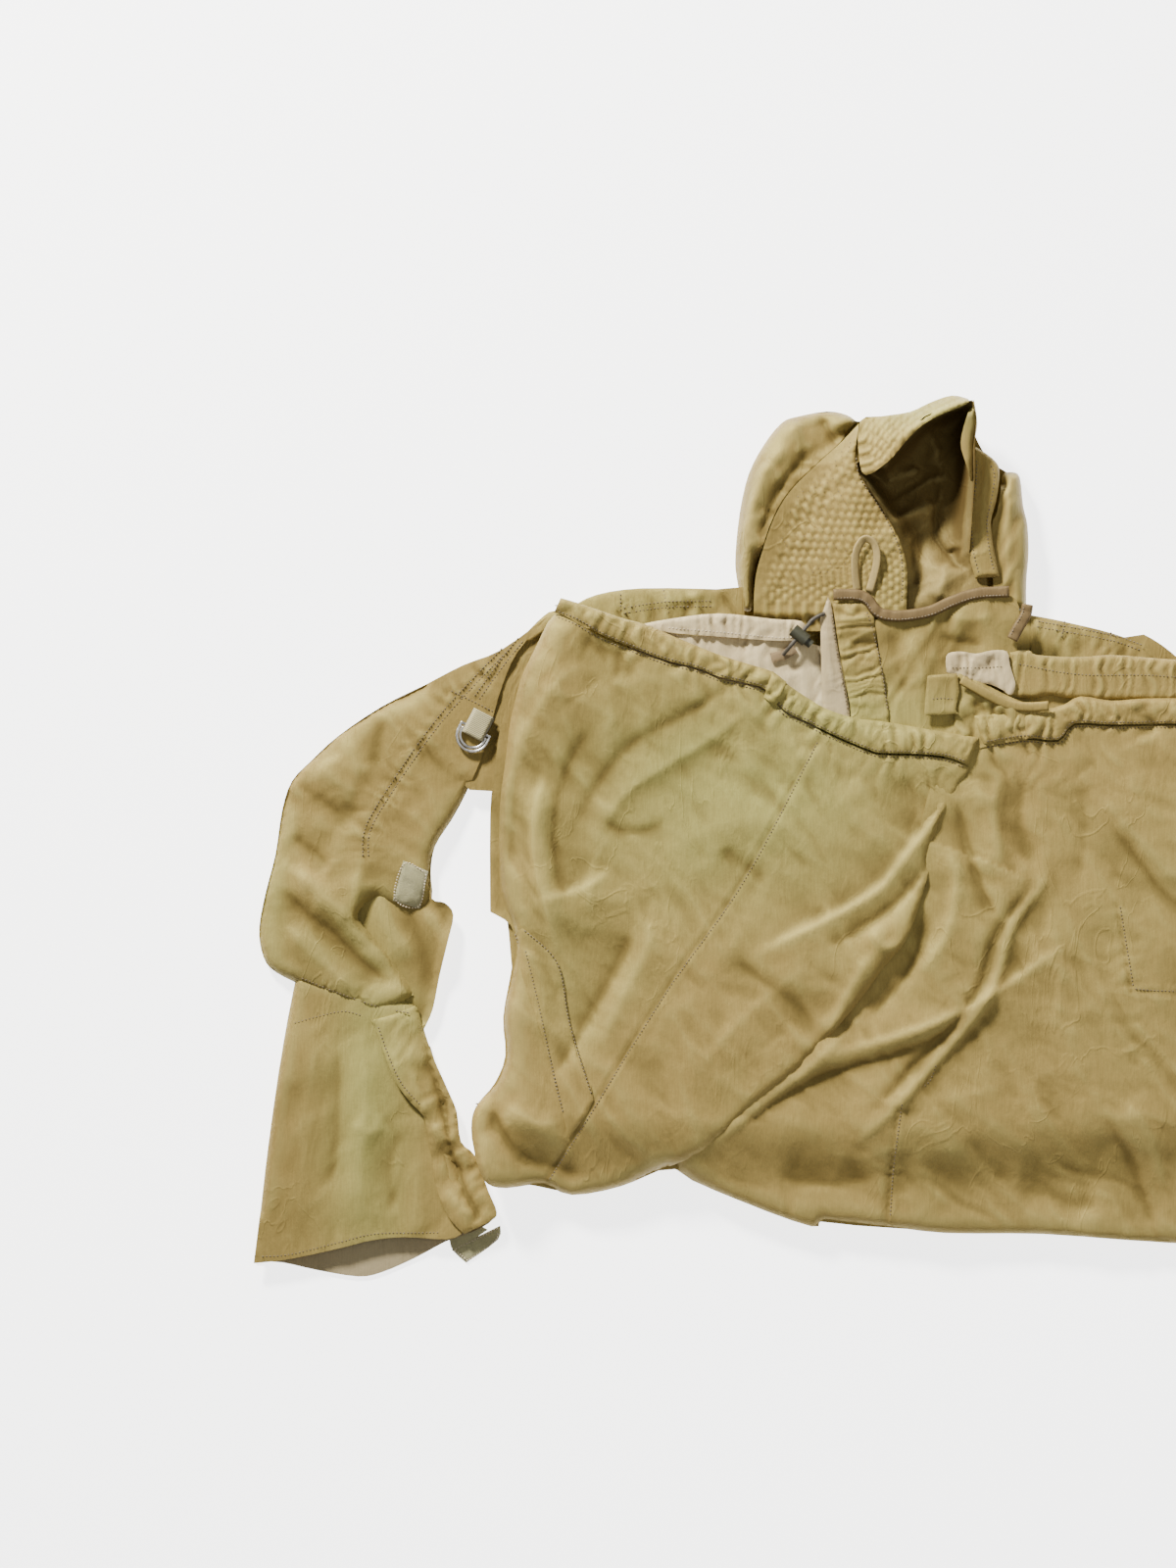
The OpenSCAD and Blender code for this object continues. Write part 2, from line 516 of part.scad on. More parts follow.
cord_route = [
    [-53, 206, 38.5], [-59, 202, 40], [-66.4, 197.5, 42], [-71, 192, 42], [-76, 186, 42],
    [-80.5, 180.7, 42], [-84.5, 176, 41.5], [-88.5, 171.5, 39], [-91, 168, 37]
];
// Level at which the route's points were set out, so that they follow the layers
cord_route_z = 42;
function cord_points() = smooth_open([for (p = cord_route) p + [0, 0, lock_z - cord_route_z]], 2);
function tangent(p, i) = unit(p[min(i + 1, len(p) - 1)] - p[max(i - 1, 0)]);
function ring_at(p, i, sides) =
    let (
        d = tangent(p, i),
        s = unit(cross(d, [0, 0, 1])),
        u = cross(s, d)
    )
    [for (k = [0 : sides - 1]) p[i] + cord_d / 2 * (cos(360 * k / sides) * s + sin(360 * k / sides) * u)];
module waist_drawcord() color([0.25, 0.20, 0.14]) laid() {
    path = cord_points();
    sides = 8;
    last = (len(path) - 1) * sides;
    polyhedron(
        points = [for (i = [0 : len(path) - 1]) each ring_at(path, i, sides)],
        faces = concat(
            [for (i = [0 : len(path) - 2], k = [0 : sides - 1])
                let (a = i * sides + k, b = i * sides + (k + 1) % sides)
                [a, b, b + sides, a + sides]],
            [[for (k = [sides - 1 : -1 : 0]) k]],
            [[for (k = [0 : sides - 1]) last + k]]
        )
    );
}

jacket_back();
jacket_front_left();
jacket_front_right();
shoulder_yokes();
sleeve_left_under();
sleeve_left_top();
cuff_left_under();
cuff_left_top();
cuff_left_fold();
sleeve_right_under();
sleeve_right_top();
cuff_right_under();
cuff_right_top();
cuff_right_fold();
elbow_patches();
ring_tabs();
ring_left_outer();
ring_left_inner();
ring_right_outer();
ring_right_inner();
cuff_tab_left();
cuff_tab_right();
hood_back();
hood_lining();
hood_crown_left();
hood_crown_right();
hood_band_left();
hood_band_top();
hood_rim_right();
hood_chin_tab();
hood_hanger_loop();
zip_tapes();
zip_chain();
zip_slider();
zip_pull();
leg_left_folded();
leg_right_folded();
trousers_back();
trousers_lining();
trousers_front_left();
trousers_front_right();
pocket_welt();
waistband_front_left();
waistband_front_right();
waistband_back_left();
waistband_back_right();
waist_lining_end();
waist_elastics();
waist_end_flap();
waist_tie();
belt_loop();
fly_facing();
fly_gathered_strip();
bib();
bib_binding();
cord_lock_barrel();
cord_lock_button();
cord_lock_ribbon();
waist_drawcord();
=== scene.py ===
"""Looks of the hooded work suit: cloth, stitching, fittings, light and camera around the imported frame.

Places are in millimetres of the layout, the flat plane that the suit was laid out on, with +Y towards the hood.
LAYOUT_ORIGIN says where that plane's zero lies in the row frame. Meshes are made in metres in the row frame.
"""
import math

import bpy
import numpy as np
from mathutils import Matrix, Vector, geometry


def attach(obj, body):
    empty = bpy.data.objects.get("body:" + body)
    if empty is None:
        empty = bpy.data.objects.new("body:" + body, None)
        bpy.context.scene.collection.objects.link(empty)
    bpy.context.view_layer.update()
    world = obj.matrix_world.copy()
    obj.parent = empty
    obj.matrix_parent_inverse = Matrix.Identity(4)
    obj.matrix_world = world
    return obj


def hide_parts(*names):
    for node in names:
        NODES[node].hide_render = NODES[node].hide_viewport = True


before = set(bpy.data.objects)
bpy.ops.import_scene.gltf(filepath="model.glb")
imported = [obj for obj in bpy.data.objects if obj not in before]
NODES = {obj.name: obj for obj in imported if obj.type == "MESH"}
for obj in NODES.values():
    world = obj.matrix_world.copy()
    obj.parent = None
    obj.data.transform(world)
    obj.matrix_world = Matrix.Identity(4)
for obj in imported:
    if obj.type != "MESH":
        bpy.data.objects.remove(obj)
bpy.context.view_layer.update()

MM = 0.001
LAYOUT_ORIGIN = np.array([26.0, -13.1])
FAR = 1e9  # farther than any piece reaches
SLEEVE_TURN = math.radians(8)  # how the right sleeve lies, against the left one's mirror image
SLEEVE_SHIFT = (3, -97)


# ---- Places ------------------------------------------------------------------

def row(points, z):
    """Layout points and heights in millimetres to row-frame metres."""
    points = np.asarray(points, float)
    flat = (points - LAYOUT_ORIGIN) * MM
    return np.column_stack([flat, np.broadcast_to(np.asarray(z, float) * MM, len(points))])


def right(points):
    """The right-hand places of points on the left sleeve, as the sleeves lie."""
    points = np.atleast_2d(np.asarray(points, float))
    x, y = -points[:, 0], points[:, 1]
    c, s = math.cos(SLEEVE_TURN), math.sin(SLEEVE_TURN)
    return np.column_stack([x * c - y * s + SLEEVE_SHIFT[0], x * s + y * c + SLEEVE_SHIFT[1]])


def left(points):
    """The left-hand places of points on the right sleeve: the inverse of right()."""
    points = np.atleast_2d(np.asarray(points, float))
    x, y = points[:, 0] - SLEEVE_SHIFT[0], points[:, 1] - SLEEVE_SHIFT[1]
    c, s = math.cos(SLEEVE_TURN), math.sin(SLEEVE_TURN)
    return np.column_stack([-(x * c + y * s), -x * s + y * c])


def outlines(node):
    """Closed outlines of a CAD node's upper faces, in layout millimetres, longest first, anticlockwise."""
    mesh = NODES[node].data
    top = max(v.co.z for v in mesh.vertices)
    edges = {}  # each edge that only one face has
    for face in mesh.polygons:
        if face.normal.z < 0.9 or abs(face.center.z - top) > 0.1 * MM:
            continue
        keys = [tuple(round(c / MM, 2) for c in mesh.vertices[i].co[:2]) for i in face.vertices]
        for a, b in zip(keys, keys[1:] + keys[:1]):
            if a != b and edges.pop((b, a), None) is None:
                edges[(a, b)] = True
    following = {a: b for a, b in edges}
    loops = []
    while following:
        start, here = following.popitem()
        loop = [start]
        while here != start:
            loop.append(here)
            here = following.pop(here)
        loops.append(np.array(loop) + LAYOUT_ORIGIN)
    return sorted(loops, key=len, reverse=True)


def outline(node):
    return outlines(node)[0]


def left_to_right(node):
    return sorted(outlines(node), key=lambda p: p[:, 0].mean())


# ---- Fields over the plane ---------------------------------------------------

def smoothstep(t):
    t = np.clip(t, 0, 1)
    return t * t * (3 - 2 * t)


def along(points, path, closed=False):
    """For each point: distance to the path, side (+1 on its left), and length along it in millimetres."""
    path = np.asarray(path, float)
    if closed:
        path = np.vstack([path, path[:1]])
    best = np.full(len(points), FAR)
    side = np.ones(len(points))
    length = np.zeros(len(points))
    gone = 0.0
    for a, b in zip(path[:-1], path[1:]):
        step = b - a
        size = math.hypot(*step)
        if size < 1e-6:
            continue
        rel = points - a
        t = np.clip(rel @ step / size**2, 0, 1)
        away = rel - t[:, None] * step
        d = np.hypot(away[:, 0], away[:, 1])
        nearer = d < best
        best = np.where(nearer, d, best)
        side = np.where(nearer, np.sign(step[0] * rel[:, 1] - step[1] * rel[:, 0]), side)
        length = np.where(nearer, gone + t * size, length)
        gone += size
    return best, side, length, gone


def curve(path, n=6):
    """Catmull-Rom curve through a path's points."""
    p = np.asarray(path, float)
    p = np.vstack([2 * p[0] - p[1], p, 2 * p[-1] - p[-2]])
    out = []
    for a, b, c, d in zip(p[:-3], p[1:-2], p[2:-1], p[3:]):
        for t in np.arange(n) / n:
            out.append(0.5 * (2 * b + (c - a) * t + (2 * a - 5 * b + 4 * c - d) * t**2
                              + (3 * b - a - 3 * c + d) * t**3))
    return np.array(out + [p[-2]])


def inside(points, loop):
    x, y = points[:, 0], points[:, 1]
    hit = np.zeros(len(points), bool)
    for (ax, ay), (bx, by) in zip(loop, np.roll(loop, -1, axis=0)):
        if ay == by:
            continue
        crosses = (ay > y) != (by > y)
        hit ^= crosses & (x < (bx - ax) * (y - ay) / (by - ay) + ax)
    return hit


def noise(x, y, seed):
    """Smooth gradient noise from -1 to 1, one cell per unit; a sine of each corner's place turns its gradient."""
    xi, yi = np.floor(x), np.floor(y)
    xf, yf = x - xi, y - yi

    def corner(dx, dy):
        h = np.sin((xi + dx) * 127.1 + (yi + dy) * 311.7 + seed * 74.7) * 43758.5453
        angle = 2 * math.pi * (h - np.floor(h))
        return np.cos(angle) * (xf - dx) + np.sin(angle) * (yf - dy)

    u, v = smoothstep(xf), smoothstep(yf)
    low = corner(0, 0) * (1 - u) + corner(1, 0) * u
    high = corner(0, 1) * (1 - u) + corner(1, 1) * u
    return 1.4 * (low * (1 - v) + high * v)


def wrinkle(points, size, angle, height, seed, stretch=2.5, crisp=0.65):
    """Long soft creases that run at an angle in degrees; crisp mixes in sharp ridges."""
    a = math.radians(angle)
    x, y = points[:, 0], points[:, 1]
    u = (x * math.cos(a) + y * math.sin(a)) / (size * stretch)
    v = (-x * math.sin(a) + y * math.cos(a)) / size
    warp = noise(u * 0.9 + 3.1, v * 0.7, seed + 11)
    n = noise(u + 0.6 * warp, v + 0.9 * warp, seed)
    ridge = 1 - 2.2 * np.abs(n)
    return height * ((1 - crisp) * n + crisp * (ridge - 0.4))


STEEPER, GENTLER = 0.8, 1.7  # a fold's narrow side is drawn in and its wide side drawn out by these


def fold(points, path, height, left_w, right_w, fade=0.25):
    """A ridge (or valley) along a path, with its own width on each side, fading out at both ends."""
    d, side, s, total = along(points, curve(path))
    on_left, on_right = (STEEPER, GENTLER) if left_w < right_w else (GENTLER, STEEPER)
    width = np.where(side > 0, left_w * on_left, right_w * on_right)
    taper = smoothstep(s / (fade * total)) * smoothstep((total - s) / (fade * total))
    crest = np.sqrt(d * d + 1.2) - 1.09  # rounded over about a millimetre, and never below zero
    return height * np.exp(-((crest / (1.25 * width)) ** 1.02)) * (0.06 + 0.94 * taper)


def pucker(points, path, height, pitch, reach, seed, lift=0.0):
    """Small gathers that stand across a seam or a casing and die away from it."""
    d, _, s, _ = along(points, curve(path))
    drift = 2.6 * noise(s / (2.3 * pitch), d / 30, seed)
    gather = 2 * np.abs(np.sin(math.pi * s / pitch + drift * 1.6)) - 1.25
    wave = gather + 0.5 * np.sin(2 * math.pi * s / (1.7 * pitch) + drift * 3)
    strength = np.clip(0.55 + 0.95 * noise(s / (1.9 * pitch), d / 30, seed + 5), 0.05, 1.3)
    return np.exp(-d / reach) * (height * wave * strength + lift)


# ---- Cloth -------------------------------------------------------------------

SUPPORTS = ["jacket_back", "sleeve_left_under", "sleeve_right_under", "cuff_left_under", "cuff_right_under"]
SUPPORT_LOOPS = [outline(n) for n in SUPPORTS]
SAG = 15.5  # the most that the free cloth hangs down
SAG_REACH = 62.0  # and how far from its support it is reached
FOLD_GAIN = 1.5  # the folds' heights in the lists are two thirds of what is built
SETTLING = 18.0  # the width over which cloth settles at a flattened place


def sag(points):
    """How far the trousers hang down where neither the jacket's body nor a sleeve lies under them."""
    free = np.full(len(points), FAR)
    for loop in SUPPORT_LOOPS:
        d = along(points, loop, closed=True)[0]
        free = np.minimum(free, np.where(inside(points, loop), 0, d))
    return SAG * smoothstep(free / SAG_REACH)


class Cloth:
    """A cloth layer: an outline in the plane, a level, and everything that bends it."""

    def __init__(self, loop, level, folds=(), puckers=(), wrinkles=(), roll=(), hangs=False, caps=(),
                 mirror=False, extra=None, seams=(), calm=()):
        self.loop = np.asarray(outline(loop) if isinstance(loop, str) else loop, float)
        self.level = level
        self.folds, self.puckers, self.wrinkles, self.seams = folds, puckers, wrinkles, seams
        self.rolls = [roll] if isinstance(roll, tuple) and roll else roll
        self.hangs, self.mirror = hangs, mirror
        self.caps, self.calm, self.extra = caps, calm, extra

    def height(self, points):
        points = np.atleast_2d(np.asarray(points, float))
        own = left(points) if self.mirror else points
        z = np.full(len(points), float(self.level))
        for w in self.wrinkles:
            z += wrinkle(own, *w)
        for f in self.folds:
            z += FOLD_GAIN * fold(own, *f)
        for p in self.puckers:
            z += pucker(own, *p)
        for path in self.seams:
            d = along(own, curve(path))[0]
            z += -0.9 * np.exp(-((d / 1.6) ** 2)) + 0.35 * np.exp(-(((d - 4.5) / 2.5) ** 2))
        if self.extra is not None:
            z += self.extra(own)
        for path, reach in self.calm:
            d = along(own, np.array(path, float))[0]
            z = self.level + (z - self.level) * smoothstep((d - reach) / SETTLING)
        for (cx, cy), radius, top in self.caps:
            w = 1 - smoothstep((np.hypot(own[:, 0] - cx, own[:, 1] - cy) - radius) / SETTLING)
            z = z * (1 - w) + np.minimum(z, top) * w
        for reach, depth, keep in self.rolls:
            z -= self.rolled(points, reach, depth, keep)
        if self.hangs:
            z -= sag(points)
        return z

    def rolled(self, points, reach, depth, keep):
        """How far the rounded edge has dropped, on the parts of the outline that keep() picks."""
        ends = np.roll(self.loop, -1, axis=0)
        middles = (self.loop + ends) / 2
        test = left(middles) if self.mirror else middles
        best = np.full(len(points), FAR)
        for a, b, m in zip(self.loop, ends, test):
            if keep is not None and not keep(m[0], m[1]):
                continue
            step = b - a
            size = step @ step
            if size < 1e-9:
                continue
            t = np.clip((points - a) @ step / size, 0, 1)
            away = points - a - t[:, None] * step
            best = np.minimum(best, np.hypot(away[:, 0], away[:, 1]))
        t = 1 - np.clip(best / reach, 0, 1)
        return depth * (1 - np.sqrt(1 - t * t))


def dense(loop, step):
    out = []
    for a, b in zip(loop, np.roll(loop, -1, axis=0)):
        n = max(1, int(math.ceil(math.hypot(*(b - a)) / step)))
        out.extend(a + (b - a) * k / n for k in range(n))
    return np.array(out)


def hull(points):
    """The convex outline round some points, anticlockwise."""
    order = points[np.lexsort((points[:, 1], points[:, 0]))]
    sides = []
    for row_of_points in (order, order[::-1]):
        chain = []
        for q in row_of_points:
            while len(chain) > 1 and np.cross(chain[-1] - chain[-2], q - chain[-2]) <= 1e-6:
                chain.pop()
            chain.append(q)
        sides += chain[:-1]
    return np.array(sides)


def area_of(loop):
    x, y = loop[:, 0], loop[:, 1]
    return 0.5 * (x @ np.roll(y, -1) - y @ np.roll(x, -1))


def triangulate(loop, step):
    """Vertices and triangles that fill an outline evenly; the first vertices are the outline's own."""
    edge = dense(loop, step)
    low, high = edge.min(0), edge.max(0)
    rows = np.arange(low[1], high[1], step * 0.866)
    grid = []
    for k, y in enumerate(rows):
        xs = np.arange(low[0] + (k % 2) * step / 2, high[0], step)
        grid.append(np.column_stack([xs, np.full(len(xs), y)]))
    grid = np.vstack(grid)
    grid = grid[inside(grid, edge)]
    grid = grid[along(grid, edge, closed=True)[0] > 0.5 * step]
    points = np.vstack([edge, grid])
    out = geometry.delaunay_2d_cdt([Vector(p) for p in points], [], [list(range(len(edge)))], 1, 1e-4)
    verts = np.array([v[:] for v in out[0]])
    border = np.array([any(i < len(edge) for i in ids) for ids in out[3]])
    return verts, [f for f in out[2] if len(f) == 3], border


def build(name, verts, faces, material):
    mesh = bpy.data.meshes.new(name)
    mesh.from_pydata([tuple(v) for v in verts], [], [tuple(f) for f in faces])
    mesh.validate()
    mesh.polygons.foreach_set("use_smooth", [True] * len(mesh.polygons))
    mesh.materials.append(MATERIALS[material])
    piece = bpy.data.objects.new(name, mesh)
    bpy.context.scene.collection.objects.link(piece)
    return piece


def note(piece, name, values):
    attribute = piece.data.attributes.new(name, "FLOAT", "POINT")
    attribute.data.foreach_set("value", np.asarray(values, np.float32))


def sharpen(piece, border):
    """Makes the cut edges crisp, so that a hem doesn't shade the cloth beside it."""
    pairs = np.zeros(2 * len(piece.data.edges), np.int32)
    piece.data.edges.foreach_get("vertices", pairs)
    pairs = pairs.reshape(-1, 2)
    cut = border[pairs % len(border)].all(axis=1) & ((pairs[:, 0] < len(border)) == (pairs[:, 1] < len(border)))
    sharp = piece.data.attributes.new("sharp_edge", "BOOLEAN", "EDGE")
    sharp.data.foreach_set("value", cut)


def hollows(faces, z, passes=7):
    """How far each vertex lies below the cloth around it, in millimetres."""
    f = np.asarray(faces)
    a = np.concatenate([f[:, 0], f[:, 1], f[:, 2]])
    b = np.concatenate([f[:, 1], f[:, 2], f[:, 0]])
    degree = np.maximum(np.bincount(a, minlength=len(z)) + np.bincount(b, minlength=len(z)), 1)
    mean = z.copy()
    for _ in range(passes):
        total = np.bincount(a, mean[b], len(z)) + np.bincount(b, mean[a], len(z))
        mean = total / degree
    return mean - z


PAINTED_LIGHT_PATCHES = [  # centre, radii and strength of the patches painted greener and lighter where the cloth catches the light: painted light
    ((-130, 40), (150, 110), 1.0), ((-240, 0), (80, 120), 0.5), ((-60, 110), (120, 40), 0.9),
    ((-250, 160), (60, 40), 0.25), ((-470, -250), (42, 160), 1.0), ((-500, -95), (60, 45), 0.5),
    ((-560, -60), (20, 90), 0.7), ((-440, -160), (30, 30), 0.8), ((40, 392), (60, 22), 0.9),
    ((-210, 220), (90, 25), 0.6), ((170, 190), (60, 30), 0.35),
    ((-290, -140), (40, 60), 0.35), ((30, 240), (40, 60), 0.3), ((-10, 60), (80, 40), 0.6),
]


def patches(points, table):
    """The strongest of a table's soft oval patches at each point."""
    total = np.zeros(len(points))
    for (cx, cy), (rx, ry), strength in table:
        r = ((points[:, 0] - cx) / rx) ** 2 + ((points[:, 1] - cy) / ry) ** 2
        total = np.maximum(total, strength * np.exp(-0.9 * r))
    return total


# Painted light: how far the cloth is painted greener and lighter, with random blotches of colour.
def painted_light_greening(points):
    x, y = points[:, 0], points[:, 1]
    blotch = 0.12 * noise(x / 55, y / 55, 3) + 0.06 * noise(x / 17, y / 17, 4)
    return np.clip(patches(points, PAINTED_LIGHT_PATCHES) + blotch, 0, 1)


SHADE_AND_TONE_PATCHES = [  # centre, radii and strength of the patches painted darker: mostly painted shade on slopes and parts that face away from the light, partly the cloth's own darker colour
    ((-555, -290), (46, 130), 0.50), ((-450, 70), (120, 130), 0.38), ((-515, -105), (75, 70), 0.46),
    ((-210, 215), (80, 26), 0.30), ((-345, 20), (16, 120), 0.35),
    ((-440, -300), (60, 110), 0.20), ((-275, 115), (90, 75), 0.50), ((-290, -10), (60, 80), 0.25),
    ((40, 180), (70, 45), 0.40), ((90, -20), (35, 60), 0.16), ((0, -310), (190, 40), 0.08),
    ((-115, 320), (38, 100), 0.72), ((-70, 372), (40, 26), 0.55), ((120, 260), (25, 80), 0.22),
    ((-430, -90), (50, 60), 0.40), ((60, 375), (40, 30), 0.12), ((-110, 240), (30, 60), 0.22),
    ((200, 190), (70, 40), 0.30), ((-330, 170), (40, 60), 0.16), ((20, -200), (120, 60), 0.10),
]


# Painted shade, mixed with the cloth's own darker colour: how far the cloth is painted darker.
def shading_and_toning(points):
    return np.clip(patches(points, SHADE_AND_TONE_PATCHES) + 0.06 * noise(points[:, 0] / 40, points[:, 1] / 40, 9), 0, 1)


FLOOR_GAP = 0.15  # the lowest that any cloth lies
THINNEST = 0.4  # and the thinnest that it is made where the floor stops it
BROAD = 60  # rounds of smoothing for the wide hollows; the narrow ones have hollows()'s own


def lay(name, cloth, material, body, step=4.0, thick=1.8, slack=1.04,
        node=None, tone_of=shading_and_toning):
    """It stands for the CAD node of its own name, or for another one; an empty node's name stands for none.
    """
    node = name if node is None else node
    verts, faces, border = triangulate(cloth.loop, step)
    top = cloth.height(verts)
    count = len(verts)
    hem = np.where(border, 0.8, 1.0) * thick / 2
    bottom = np.maximum(top - thick / 2 - hem, FLOOR_GAP)
    all_verts = np.vstack([row(verts, np.maximum(top - thick / 2 + hem, bottom + THINNEST)), row(verts, bottom)])
    edges = {(a, b) for f in faces for a, b in zip(f, list(f[1:]) + [f[0]])}
    rim = [(a, b) for a, b in edges if (b, a) not in edges]
    all_faces = [tuple(f) for f in faces] + [tuple(i + count for i in reversed(f)) for f in faces]
    all_faces += [(b, a, a + count, b + count) for a, b in sorted(rim)]
    piece = build(f"{name}_cloth", all_verts, all_faces, material)
    sharpen(piece, border)
    own = left(verts) if cloth.mirror else verts
    from_edge = along(verts, cloth.loop, closed=True)[0]
    # How far each point lies in a hollow, kept off the cut edges; the cloth materials paint shade into the hollows
    # and a highlight onto the crests from it.
    hollow = hollows(faces, top) * smoothstep(from_edge / 9)
    broad = hollows(faces, top, BROAD) * smoothstep(from_edge / 14)
    # Painted light: patches painted greener and lighter where the cloth catches the light.
    fade = painted_light_greening(own)
    # Painted shade and painted light: wide hollows paint the cloth darker and broad crests lighter, on top of the
    # patches.
    shade_and_tone = np.clip(tone_of(own) + 0.10 * np.clip(broad, -1.5, 3), 0, 1)
    for attribute, values, share in (("hollow", hollow, 0), ("fade", fade, 0.6), ("shade_and_tone", shade_and_tone, 1)):
        note(piece, attribute, np.concatenate([values, share * values]))
    finish_piece(piece, body, node)
    declare_cut(cloth.loop, slack)
    return piece


def declare_cut(loop, slack):
    cut = abs(area_of(loop)) * MM * MM * slack
    sizes = []
    for degrees in range(0, 90, 3):
        a = math.radians(degrees)
        sizes.append(np.ptp(loop @ np.array([[math.cos(a), -math.sin(a)], [math.sin(a), math.cos(a)]]), axis=0))
    width, length = min(sizes, key=lambda s: s[0] * s[1]) * MM * math.sqrt(slack) * 1.01
    if cut < 0.4 * width * length:
        length = np.hypot(*(loop - np.roll(loop, 1, axis=0)).T).sum() / 2 * MM
        width = max(cut / length, 0.0101)


def finish_piece(piece, body, node):
    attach(piece, body)
    if node:
        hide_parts(node)


# ---- Stitches ----------------------------------------------------------------

def normals(steps):
    """Unit directions to the left of some steps in the plane."""
    t = steps / np.maximum(np.hypot(*steps.T), 1e-6)[:, None]
    return np.column_stack([-t[:, 1], t[:, 0]])


STITCH_LIFT = 0.25  # the dash's height over the cloth, before its own rounding
STITCH_DIVE = 0.3  # how deep its two ends go in


def stitch_row(cloths_and_paths, name, body, material, pitch=3.4, length=2.3, width=0.75):
    """Rows of lock stitches that follow the cloth, as small raised six-sided dashes in one piece."""
    verts, faces = [], []
    for cloth, path, offset in cloths_and_paths:
        line = curve(path, 10)
        steps = np.diff(line, axis=0)
        size = np.hypot(steps[:, 0], steps[:, 1])
        gone = np.concatenate([[0], np.cumsum(size)])
        starts = np.arange(pitch, gone[-1] - pitch, pitch)
        if not len(starts):
            continue
        ends = starts + length
        a = np.column_stack([np.interp(starts, gone, line[:, k]) for k in (0, 1)])
        b = np.column_stack([np.interp(ends, gone, line[:, k]) for k in (0, 1)])
        n = normals(b - a)
        a, b = a + n * offset, b + n * offset
        if cloth.mirror:
            a, b = right(a), right(b)
            n = normals(b - a)
        za, zb = cloth.height(a), cloth.height(b)
        for pa, pb, ha, hb, nn in zip(a, b, za, zb, n):
            k = len(verts)
            mid, hm = (pa + pb) / 2, (ha + hb) / 2
            ring = [(pa, ha - STITCH_DIVE, 0.25, 0.0), (mid, hm + STITCH_LIFT, 0.5, 0.35),
                    (pb, hb - STITCH_DIVE, 0.25, 0.0)]
            for centre, h, half, up in ring:
                for off, lift in ((-half, 0), (0, up + 0.15), (half, 0), (0, -0.35)):
                    p = (centre + nn * off * width * 2 - LAYOUT_ORIGIN) * MM
                    verts.append((p[0], p[1], (h + lift) * MM))
            faces += [(i + c, i + 4 + c, i + 4 + (c + 1) % 4, i + (c + 1) % 4)
                      for i in (k, k + 4) for c in range(4)]
            faces += [(k, k + 1, k + 2, k + 3), (k + 11, k + 10, k + 9, k + 8)]
    finish_piece(build(name, verts, faces, material), body, "")


def stitch_round(cloth, name, body, share):
    """Stitches a little inside a small patch's own edge."""
    own = left(cloth.loop) if cloth.mirror else cloth.loop
    middle = own.mean(0)
    edge = middle + (own - middle) * share
    stitch_row([(cloth, np.vstack([edge, edge[:1]]), 0)], name, body, "cream_thread", pitch=2.8, length=1.9)


# ---- Camera, floor and light -------------------------------------------------

VIEW_CENTRE = (-0.296, 0.0626)
VIEW_HEIGHT = 1.44
CAMERA_Z = 6.0
MIDDLE_Z = 0.03  # the level that VIEW_HEIGHT is true at
SENSOR = 36


def set_camera():
    data = bpy.data.cameras.new("camera")
    data.sensor_fit = "VERTICAL"
    data.sensor_height = SENSOR
    data.lens = SENSOR * (CAMERA_Z - MIDDLE_Z) / VIEW_HEIGHT
    data.clip_end = 50
    camera = bpy.data.objects.new("camera", data)
    camera.location = (*VIEW_CENTRE, CAMERA_Z)
    bpy.context.scene.collection.objects.link(camera)
    bpy.context.scene.camera = camera


def lamp(name, place, aim, size, power, tint):
    data = bpy.data.lights.new(name, "AREA")
    data.shape = "DISK"
    data.size = size
    data.energy = power
    data.color = tint
    light = bpy.data.objects.new(name, data)
    light.location = place
    light.rotation_euler = (Vector(aim) - Vector(place)).to_track_quat("-Z", "Y").to_euler()
    bpy.context.scene.collection.objects.link(light)


FLOOR_Z = -0.0004  # a hair under the lowest cloth


def studio():
    bpy.ops.mesh.primitive_grid_add(x_subdivisions=4, y_subdivisions=4, size=12, location=(0, 0, FLOOR_Z))
    floor = bpy.context.object
    floor.name = "floor"
    material, shader, _ = new_material("floor_paper", 0.9)
    shader.inputs["Base Color"].default_value = (0.95, 0.95, 0.945, 1)
    shader.inputs["Emission Color"].default_value = (1, 1, 1, 1)
    shader.inputs["Emission Strength"].default_value = 3.2
    floor.data.materials.append(material)
    lamp("key", (-2.1, 3.4, 2.0), aim=(0, 0, 0), size=0.7, power=640, tint=(1.0, 0.985, 0.95))
    lamp("fill", (1.6, -1.4, 2.4), aim=(0, 0, 0), size=2.4, power=22, tint=(0.97, 0.98, 1.0))
    lamp("top", (0.5, 0.3, 2.6), aim=(0.2, 0, 0), size=1.0, power=8, tint=(1, 1, 0.98))
    world = bpy.data.worlds.new("studio")
    world.use_nodes = True
    world.node_tree.nodes["Background"].inputs["Color"].default_value = (1, 1, 1, 1)
    world.node_tree.nodes["Background"].inputs["Strength"].default_value = 0.30
    bpy.context.scene.world = world


# ---- Materials ---------------------------------------------------------------

def new_material(name, rough, sheen=0.0, metallic=0.0):
    """A material, its shader, and the graph that the shader's inputs are joined from."""
    material = bpy.data.materials.new(name)
    material.use_nodes = True
    shader = material.node_tree.nodes["Principled BSDF"]
    shader.inputs["Roughness"].default_value = rough
    shader.inputs["Metallic"].default_value = metallic
    if sheen:
        shader.inputs["Sheen Weight"].default_value = sheen
        shader.inputs["Sheen Roughness"].default_value = 0.5
    return material, shader, Graph(material.node_tree)


